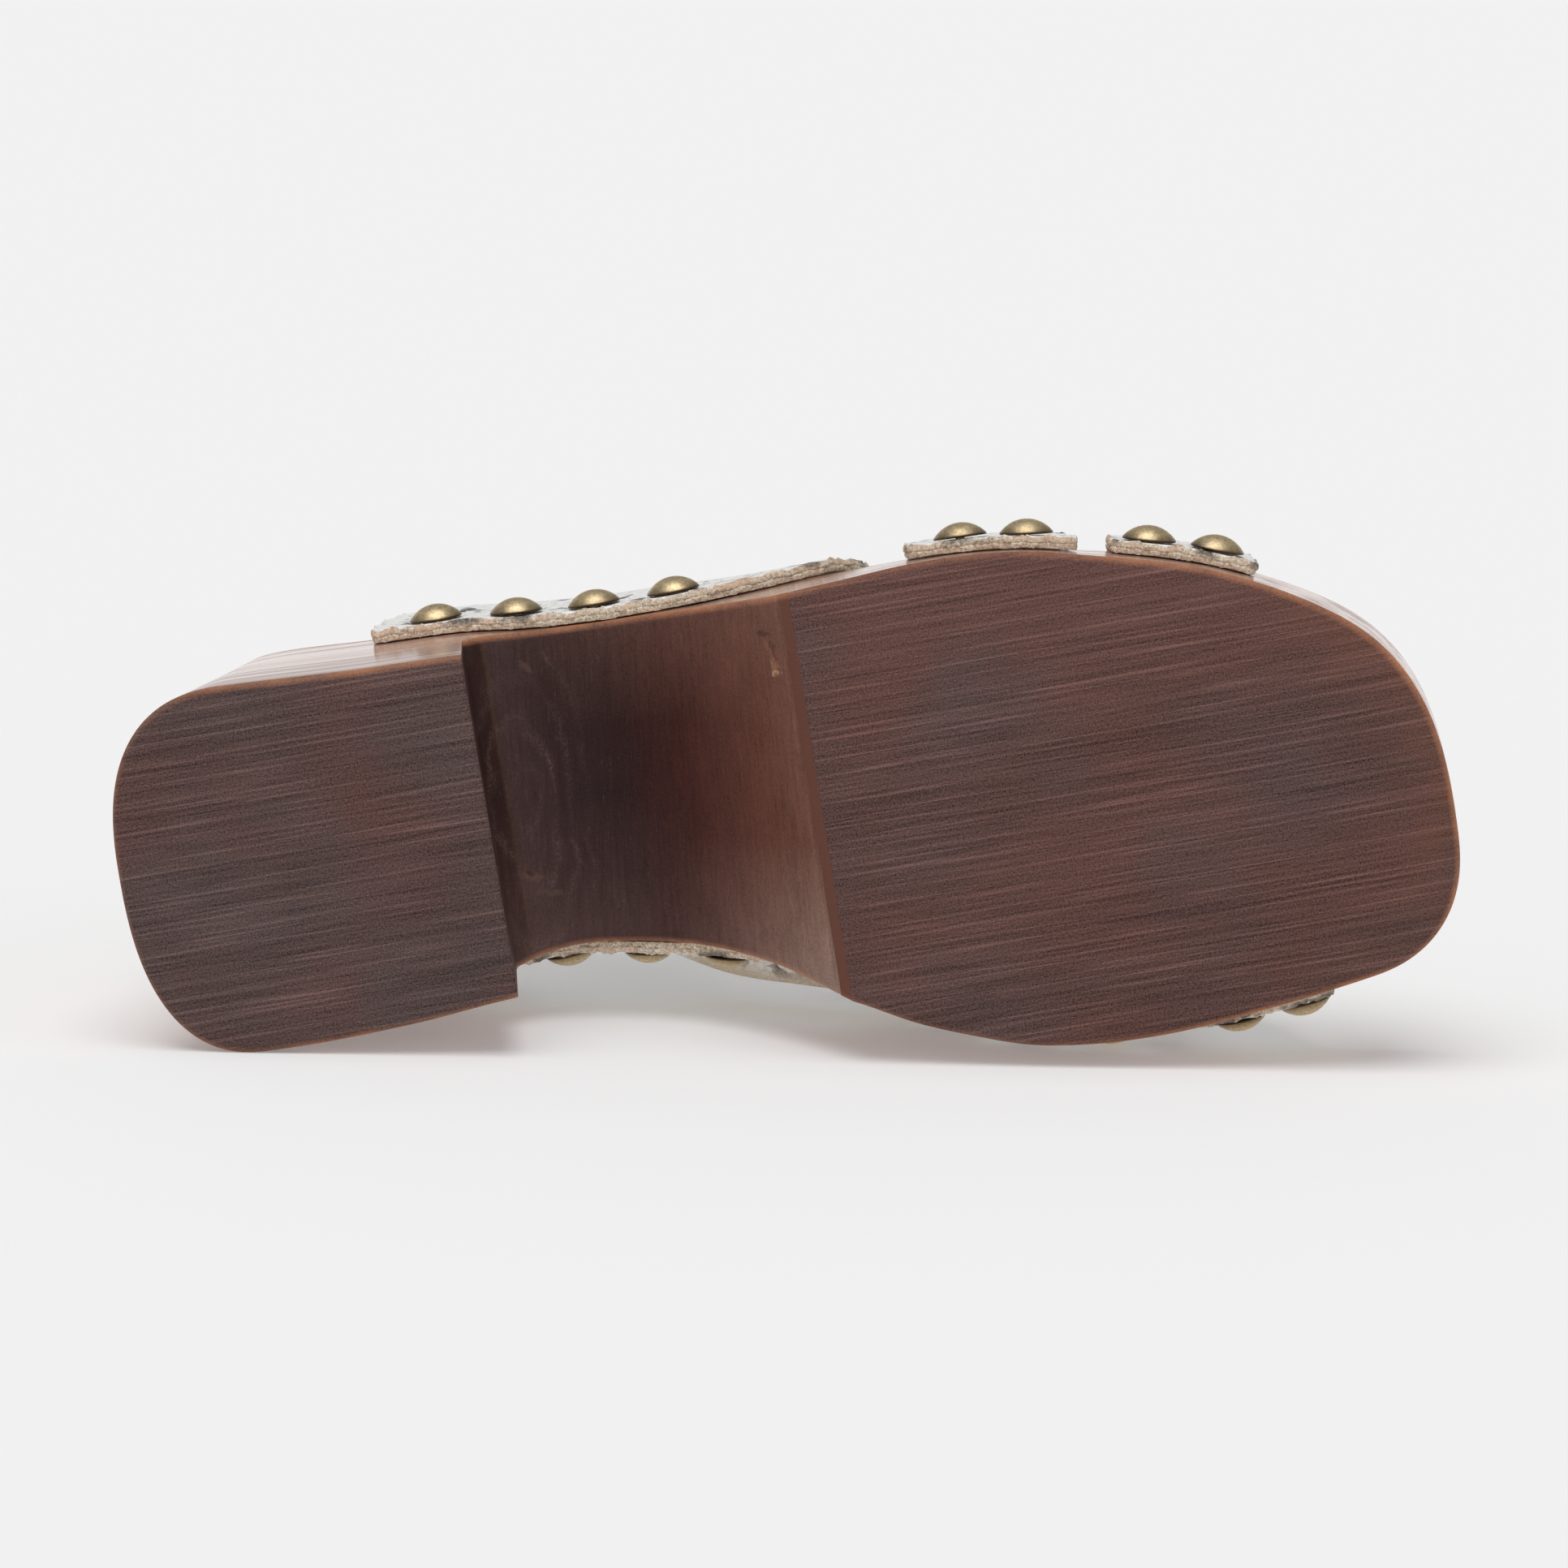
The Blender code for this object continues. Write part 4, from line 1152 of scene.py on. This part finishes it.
def knot_rings(tree, here):
    """Share of the pale rings round the knot: soft ovals, broken into dots and faded in patches."""
    ring = ellipse(tree, here, *KNOT, *KNOT_HALF, 0.0)
    ring = total(tree, ring, (RING_BEND, noise(tree, here, *RING_WANDER)))
    wave = ramp(tree, calc(tree, "PINGPONG", ring, RING_FOLD), *RING_STOPS)
    dotted = times(tree, wave, ramp(tree, noise(tree, here, *DOT_NOISE), *DOT_STOPS))
    near = times(tree, dotted, spread(tree, ring, *RING_OUTSIDE), spread(tree, ring, *RING_INSIDE))
    patches, _ = grime(tree, here, RING_PATCH)
    return times(tree, near, ramp(tree, patches, *RING_PATCHY))


def knocked(tree, here, colour):
    """Colour with the knocks painted over it, each a tilted ellipse whose outline noise makes ragged."""
    wobble = noise(tree, here, *MARK_NOISE, out="Color")
    reach = (MARK_RAGGED, MARK_RAGGED, 0.0)
    centre = (MARK_RAGGED / 2, MARK_RAGGED / 2, 0.0)
    ragged = add(tree, "VectorMath", {0: wobble, 1: reach, 2: here}, operation="MULTIPLY_ADD")
    ragged = add(tree, "VectorMath", {0: ragged, 1: centre}, operation="SUBTRACT")
    for *shape, paint, strength in MARKS:
        inside = spread(tree, ellipse(tree, ragged, *shape), *MARK_SOFT)
        colour = blend(tree, times(tree, inside, strength), colour, paint)
    return colour


print("a knot and", len(MARKS), "knocks")

# %% [markdown]
# ## Arch
# The hollow under the waist was sanded across the foot. It is nearly black behind the breast, partly from a
# darker stain and partly as painted shade of the heel block and the hollow. Then it is red, then brown
# towards the forefoot, with a painted sheen along both sides. A colour ramp along the foot gives the stains
# together with that painted shade, and a short table gives the painted sheen on the sides. Painting the
# points of the mesh would be coarser than the grain.

# %% Arch colour
ARCH_START, ARCH_END = 69.4, 131.0
# From the breast to the middle of the waist these stops are darker than the stain alone: painted shade of the
# heel block and the hollow.
ARCH_STAINS_AND_SHADE = (
    (0.0, srgb(60, 39, 37)),
    (0.045, srgb(62, 40, 37)),
    (0.055, srgb(84, 61, 52)),
    (0.07, srgb(80, 58, 56)),
    (0.14, srgb(72, 50, 49)),
    (0.22, srgb(56, 34, 34)),
    (0.42, srgb(55, 32, 31)),
    (0.62, srgb(78, 43, 38)),
    (0.86, srgb(112, 70, 58)),
    (1.0, srgb(124, 83, 70)),
)
# The pale bands along the arch's sides are a painted sheen on the satin wood, not a paler stain.
PAINTED_SHEEN_SIDES = (
    ((8.0, 34.0), (0.5, 1.0), 1.0, srgb(152, 124, 111)),
    ((-14.0, -34.0), (0.1, 0.5), 0.5, srgb(124, 87, 75)),
    ((0.0, 26.0), (0.75, 0.4), 0.4, srgb(104, 78, 74)),
)
SANDING_TURN = math.radians(86.0)
SANDING_LINES = (18.0, 0.34)
ARCH_PATCH = 10.0
ARCH_DUST = (3.0, 2.0, 0.8)
ARCH_WEIGHTS = (0.7, 0.8, 0.9, 1.1, 0.5)
SHADE_LOW, SHADE_GAIN = 0.5, 0.85
DASH_LINES, DASH_BREAKS = ((0.58, 0.0), (0.74, 0.4)), ((0.45, 0.0), (0.6, 1.0))
RING_FADE = (0.75, 0.3)


def arch_colour(tree, here, inward, station):
    """Stain and painted shade by station, a painted sheen on both sides, with sanding lines, rings of the
    knot and knocks.
    """
    run = spread(tree, station, ARCH_START, ARCH_END)
    # Stain along the arch, with painted shade behind the breast.
    colour = ramp(tree, run, *ARCH_STAINS_AND_SHADE)
    # Painted sheen along both sides of the arch.
    for side, stretch, strength, paint in PAINTED_SHEEN_SIDES:
        pale = times(tree, spread(tree, inward, *side), spread(tree, run, *stretch), strength)
        colour = blend(tree, pale, colour, paint)
    turned = add(tree, "Mapping", {"Vector": here, "Rotation": (0.0, 0.0, SANDING_TURN)})
    lines, hair = streaks(tree, turned, *SANDING_LINES)
    patches, specks = grime(tree, here, ARCH_PATCH)
    dust = noise(tree, here, *ARCH_DUST)
    tone = weigh(tree, 0.5, *zip(ARCH_WEIGHTS, (lines, hair, specks, dust, patches)))
    colour = blend(tree, 1.0, colour, total(tree, SHADE_LOW, (SHADE_GAIN, tone)), "MULTIPLY")
    dashes = times(tree, ramp(tree, hair, *DASH_LINES), ramp(tree, specks, *DASH_BREAKS))
    pale = calc(tree, "MAXIMUM", dashes, knot_rings(tree, here))
    colour = blend(tree, times(tree, pale, spread(tree, run, *RING_FADE)), colour, RING_PALE)
    return knocked(tree, here, colour), tone


print(len(ARCH_STAINS_AND_SHADE), "stains along the arch")

# %% [markdown]
# ## Walls, footbed and worn edges
# The side walls and the footbed are smooth, with long grain, and the walls have a clear gloss that the grain
# breaks into streaks. The pale end of their grain is much paler than the stained wood: it is a painted
# highlight of light from above glancing off the walls. The stain is worn to pale orange where hands and
# floors rub: round the toe, along the heel's rims and on both edges of the waist. How much is worn changes
# along the shoe, and noise breaks the line up. Blender can find edges by their curvature, but the distance to
# the outline, which the mesh already keeps, gives a line of even width.

# %% Wood material
# The pale wall colour is a painted highlight, far paler than the wood's stain, standing in for light from
# above glancing off the walls and the footbed.
WALL_DARK, WALL_PAINTED_HIGHLIGHT = srgb(122, 80, 65), srgb(214, 168, 148)
STEP_BROWN = srgb(110, 70, 57)
WORN_ORANGE = srgb(196, 132, 94)
WEAR_ALONG = (
    (0.0, 0.4), (0.08, 0.7), (0.29, 0.95), (0.5, 0.95), (0.55, 0.4), (0.72, 0.5), (0.8, 1.0), (1.0, 1.0),
)
WEAR_REACH = (1.25, 0.05)
WEAR_PATCH, WEAR_MIDDLE, WEAR_WEIGHTS = 9.0, 0.62, (1.3, 1.3)
WALL_GRAIN, WALL_WEIGHTS = (26.0, 1.3), (2.4, 1.8)
GLOSS_STOPS = ((0.36, 0.6), (0.56, 1.0))
WOOD_ROUGH, TREAD_ROUGH, ARCH_ROUGH, FIBRE_ROUGH = 0.4, 0.3, 0.1, 0.14
SAW_RELIEF, SANDING_RELIEF, FIBRE_RELIEF = 2.0, 0.7, 0.25
WOOD_BUMP = (0.4, 0.0003)


def worn_share(tree, here, ahead):
    """Share of stain worn off: near an edge, by place along the shoe, broken up by noise."""
    near = spread(tree, mask(tree, "edge_gap"), *WEAR_REACH)
    by_place = ramp(tree, spread(tree, ahead, 0.0, SOLE_LENGTH), *WEAR_ALONG)
    broken = weigh(tree, WEAR_MIDDLE, *zip(WEAR_WEIGHTS, grime(tree, here, WEAR_PATCH)))
    return times(tree, near, by_place, broken)


def wood_material():
    """Zones of the sole mixed by its masks: treads, arch, step and walls, then the worn edges over all."""
    material, tree, shader = new_material("stained_wood", specular_ior_level=0.22, coat_roughness=0.13)
    here = shoe_place(tree)
    ahead, inward = (add(tree, "SeparateXYZ", {0: here}, i) for i in range(2))
    on_tread, in_arch = mask(tree, "tread"), mask(tree, "arch")
    tread, saw_lines = tread_colour(tree, here, ahead, inward)
    arch, sanding = arch_colour(tree, here, inward, total(tree, ahead, (-STATION_SKEW, inward)))
    grain, fibre = streaks(tree, here, *WALL_GRAIN)
    # Wall grain, running from the dark stain to the pale painted highlight.
    walls = blend(tree, weigh(tree, 0.5, *zip(WALL_WEIGHTS, (grain, fibre))), WALL_DARK, WALL_PAINTED_HIGHLIGHT)
    colour = blend(tree, on_tread, blend(tree, in_arch, walls, arch), tread)
    colour = blend(tree, mask(tree, "step"), colour, STEP_BROWN)
    colour = blend(tree, worn_share(tree, here, ahead), colour, WORN_ORANGE)
    rough = total(tree, WOOD_ROUGH, (TREAD_ROUGH, on_tread), (ARCH_ROUGH, in_arch), (FIBRE_ROUGH, fibre))
    gloss = times(tree, mask(tree, "wall"), ramp(tree, grain, *GLOSS_STOPS))
    tree.links.new(gloss, shader.inputs["Coat Weight"])
    relief = times(tree, on_tread, saw_lines, SAW_RELIEF)
    relief = total(tree, relief, (SANDING_RELIEF, times(tree, in_arch, sanding)), (FIBRE_RELIEF, fibre))
    finish(tree, shader, colour, rough, relief, *WOOD_BUMP)
    return material


wood = wood_material()
sole.data.materials.append(wood)
print("wood:", len(wood.node_tree.nodes), "nodes")

# %% [markdown]
# ## Printed leather
# The grain side is printed with a reptile pattern in white, grey and black. The cut edges show pale fibres
# in two plies, stained here and there by the print, and the flesh side is tan suede. Three materials could
# share a strap, but the masks already tell the three surfaces apart, so one material does for all.

# %% Print and raw edges
PRINT_WHITE, PRINT_GREY, PRINT_BLACK = srgb(252, 251, 249), srgb(150, 150, 150), srgb(46, 46, 49)
PRINT_TAN = srgb(190, 160, 124)
CELL, CELL_SHARE = 0.42, 0.13
CELL_WOBBLE, CELL_BEND = (0.5, 2.0), (1.4, 1.4, 1.4)
GREY_BLOTCH, BLACK_BLOTCH = ((0.64, 0.0), (0.67, 0.9)), ((0.69, 0.0), (0.72, 0.95))
TAN_BLOTCH = ((0.4, 0.6), (0.44, 0.0))
JOINT_STOPS = ((0.0, 0.35), (0.1, 0.0))
FIBRE_PALE, FIBRE_TAN, FIBRE_DARK = srgb(255, 244, 224), srgb(186, 160, 130), srgb(96, 80, 68)
FIBRE_PEACH = srgb(236, 196, 166)
FIBRES, FIBRE_MIDDLE, FIBRE_WEIGHTS = (1.5, 0.34), 0.58, (2.2, 3.4)
PEACH_LAYER, PEACH_BREAKS = ((0.5, 0.0), (0.62, 0.5)), ((0.48, 1.0), (0.56, 0.0))
GLUE_LAYER = ((0.36, 0.0), (0.44, 0.16), (0.47, 0.16), (0.56, 0.0))
GLUE_BREAKS = ((0.4, 1.0), (0.62, 0.2))
STAIN_LAYER, STAIN_BLOTCH = ((0.45, 0.0), (0.75, 1.0)), ((0.6, 0.0), (0.69, 0.7))
DARK_SPECKS = ((0.28, 0.4), (0.39, 0.0))


def print_colour(tree, here, patches):
    """Reptile print: pale cells with grey joints, and blotches of grey, black and tan in whole cells."""
    wobble = noise(tree, here, *CELL_WOBBLE, out="Color")
    bent = add(tree, "VectorMath", {0: wobble, 1: CELL_BEND, 2: here}, operation="MULTIPLY_ADD")
    joints = add(tree, "TexVoronoi", {"Vector": bent, "Scale": CELL}, "Distance", feature="DISTANCE_TO_EDGE")
    cell = add(tree, "TexVoronoi", {"Vector": bent, "Scale": CELL}, "Color")
    blotch = total(tree, patches, (CELL_SHARE, add(tree, "SeparateColor", {0: cell}, 0)))
    face = PRINT_WHITE
    for stops, paint in ((GREY_BLOTCH, PRINT_GREY), (BLACK_BLOTCH, PRINT_BLACK), (TAN_BLOTCH, PRINT_TAN)):
        face = blend(tree, ramp(tree, blotch, *stops), face, paint)
    return blend(tree, ramp(tree, joints, *JOINT_STOPS), face, PRINT_GREY), joints, blotch


def edge_colour(tree, hair, layer, specks, blotch):
    """Raw edge: pale and tan fibres, a peach grain ply, a dark line of glue and stains of the print."""
    edge = blend(tree, weigh(tree, FIBRE_MIDDLE, *zip(FIBRE_WEIGHTS, (hair, specks))), FIBRE_TAN, FIBRE_PALE)
    peach = times(tree, ramp(tree, layer, *PEACH_LAYER), ramp(tree, blotch, *PEACH_BREAKS))
    glue = times(tree, ramp(tree, layer, *GLUE_LAYER), ramp(tree, specks, *GLUE_BREAKS))
    stain = times(tree, ramp(tree, layer, *STAIN_LAYER), ramp(tree, blotch, *STAIN_BLOTCH))
    dark = ramp(tree, specks, *DARK_SPECKS)
    for share, paint in ((peach, FIBRE_PEACH), (glue, FIBRE_DARK), (stain, PRINT_BLACK), (dark, FIBRE_DARK)):
        edge = blend(tree, share, edge, paint)
    return edge


print("print cells %.1f mm across" % (1 / CELL))

# %% Leather material
SUEDE_DARK, SUEDE_LIGHT = srgb(138, 110, 82), srgb(188, 160, 126)
SUEDE_WEIGHTS = (1.5, 0.8)
FLESH_LAYER, RAW_STOPS = ((0.02, 1.0), (0.05, 0.0)), ((0.3, 0.0), (0.7, 1.0))
# Tone of the painted shade below the band's swell, from tan to pale fibre.
SWELL_SHADE_MIDDLE, SWELL_SHADE_WEIGHTS = 0.45, (1.2, 1.4)
LEATHER_PATCH = 9.0
LEATHER_ROUGH, RAW_ROUGH, SPECK_ROUGH = 0.42, 0.4, 0.15
JOINT_GROOVE, JOINT_RELIEF, RAW_RELIEF = ((0.0, 0.0), (0.2, 1.0)), 0.5, 2.0
LEATHER_BUMP = (0.5, 0.0004)


def leather_material():
    """Print on the grain side, fibres on the raw edges and suede on the flesh side."""
    material, tree, shader = new_material("printed_leather", ior=1.45)
    here = shoe_place(tree)
    layer = mask(tree, "layer")
    raw = ramp(tree, mask(tree, "raw_edge"), *RAW_STOPS)
    patches, specks = grime(tree, here, LEATHER_PATCH)
    _, hair = streaks(tree, here, *FIBRES)
    face, joints, blotch = print_colour(tree, here, patches)
    suede = blend(tree, weigh(tree, 0.5, *zip(SUEDE_WEIGHTS, (specks, patches))), SUEDE_DARK, SUEDE_LIGHT)
    colour = blend(tree, ramp(tree, layer, *FLESH_LAYER), face, suede)
    colour = blend(tree, raw, colour, edge_colour(tree, hair, layer, specks, blotch))
    # Painted shade below the band's swell: the white print turns tan with fibres.
    swell_shade_tone = weigh(tree, SWELL_SHADE_MIDDLE, *zip(SWELL_SHADE_WEIGHTS, (hair, specks)))
    colour = blend(tree, mask(tree, "swell_shade"), colour, blend(tree, swell_shade_tone, FIBRE_TAN, FIBRE_PALE))
    rough = total(tree, LEATHER_ROUGH, (RAW_ROUGH, raw), (SPECK_ROUGH, specks))
    relief = total(tree, hair, (JOINT_RELIEF, ramp(tree, joints, *JOINT_GROOVE)))
    relief = total(tree, relief, (RAW_RELIEF, times(tree, raw, specks)))
    finish(tree, shader, colour, rough, relief, *LEATHER_BUMP)
    return material


leather = leather_material()
for piece in straps.values():
    piece.data.materials.append(leather)
print("leather:", len(leather.node_tree.nodes), "nodes")

# %% [markdown]
# ## Antique brass
# The nails are brass that has been darkened and then rubbed, so the tops of the domes are bright and the
# rims stay brown. A mask of the height on the dome mixes the two, and specks break the mix up. The specks
# lie differently on each nail, so no two look the same.

# %% Brass material
BRASS_BRIGHT, BRASS_BROWN = srgb(242, 218, 174), srgb(74, 55, 38)
BRASS_PATCH = 4.0
RUBBED_DOME, RUBBED_BREAKS = ((0.09, 0.0), (0.2, 0.45), (0.6, 1.0)), ((0.3, 0.5), (0.58, 1.0))
BRASS_ROUGH, BRASS_PATCHY = 0.3, 0.2
BRASS_BUMP = (0.12, 0.0002)


def brass_material():
    """Bright domes and brown rims, with fine rubbing marks."""
    material, tree, shader = new_material("antique_brass", metallic=1.0)
    patches, specks = grime(tree, shoe_place(tree), BRASS_PATCH)
    # Rubbed share of the brass: bright where the domes are rubbed, brown in the rims.
    rub_and_shade = times(tree, ramp(tree, mask(tree, "dome"), *RUBBED_DOME), ramp(tree, specks, *RUBBED_BREAKS))
    colour = blend(tree, rub_and_shade, BRASS_BROWN, BRASS_BRIGHT)
    finish(tree, shader, colour, total(tree, BRASS_ROUGH, (BRASS_PATCHY, patches)), specks, *BRASS_BUMP)
    return material


brass = brass_material()
for piece in studs.values():
    piece.data.materials.append(brass)
print("brass:", len(brass.node_tree.nodes), "nodes")

# %% [markdown]
# ## Floor
# The photo has a pale seamless floor with hardly any shadow in front of the shoe, as on a light table. So
# the floor is one big pale square that glows a little. It is part of the stage, not of the shoe. A curved
# backdrop would do as well, but its bend would show in other views.

# %% Floor
FLOOR_HALF = 40.0
FLOOR_TONE = 0.8
FLOOR_GLOW = 0.18
FLOOR_ROUGH = 0.9

floor_mesh = bpy.data.meshes.new("floor")
floor_corners = FLOOR_HALF * np.array([(-1, -1, 0), (1, -1, 0), (1, 1, 0), (-1, 1, 0)], float)
floor_mesh.from_pydata(floor_corners.tolist(), [], [(0, 1, 2, 3)])
floor = bpy.data.objects.new("floor", floor_mesh)
bpy.context.scene.collection.objects.link(floor)
floor_material, _, floor_shader = new_material(
    "floor", roughness=FLOOR_ROUGH, emission_strength=FLOOR_GLOW, specular_ior_level=0.0,
)
floor_shader.inputs["Base Color"].default_value = (FLOOR_TONE, FLOOR_TONE, FLOOR_TONE, 1.0)
floor_shader.inputs["Emission Color"].default_value = (1.0, 1.0, 1.0, 1.0)
floor_mesh.materials.append(floor_material)
print("floor", 2 * FLOOR_HALF, "m wide")

# %% [markdown]
# ## Sky and lamp
# A wide lamp shines from above and a little from the camera's side. The sky is brightest at the horizon, so
# that glancing surfaces shine, and behind the shoe it is dim above the horizon, so the shoe throws no
# shadow towards the camera. Two ramps over the height of the look, mixed by its direction, make such a sky
# without an image.

# %% Sky and lamp
SKY_FRONT = ((0.0, 0.9), (0.16, 0.8), (0.3, 0.6), (0.6, 0.45), (1.0, 0.3))
SKY_BACK = ((0.0, 1.0), (0.16, 0.9), (0.26, 0.34), (0.6, 0.24), (1.0, 0.3))
SKY_TURN = (-0.25, 0.25)
LAMP_STRENGTH = 1.65
LAMP_ANGLE = math.radians(50.0)
LAMP_TOWARDS = (0.1, 0.25, -0.96)

world = bpy.data.worlds.new("studio")
world.use_nodes = True
sky_tree = world.node_tree
looking = add(sky_tree, "TexCoord", out="Generated")
behind = spread(sky_tree, add(sky_tree, "SeparateXYZ", {0: looking}, 1), *SKY_TURN)
height = add(sky_tree, "SeparateXYZ", {0: looking}, 2)
sky = blend(sky_tree, behind, ramp(sky_tree, height, *SKY_FRONT), ramp(sky_tree, height, *SKY_BACK))
sky_tree.links.new(sky, sky_tree.nodes["Background"].inputs["Color"])
bpy.context.scene.world = world

lamp = bpy.data.lights.new("key", "SUN")
lamp.energy = LAMP_STRENGTH
lamp.angle = LAMP_ANGLE
stand = bpy.data.objects.new("key", lamp)
stand.rotation_euler = Vector(LAMP_TOWARDS).to_track_quat("-Z", "Y").to_euler()
bpy.context.scene.collection.objects.link(stand)
bpy.context.scene.view_settings.view_transform = "Standard"
print("lamp of strength", LAMP_STRENGTH)
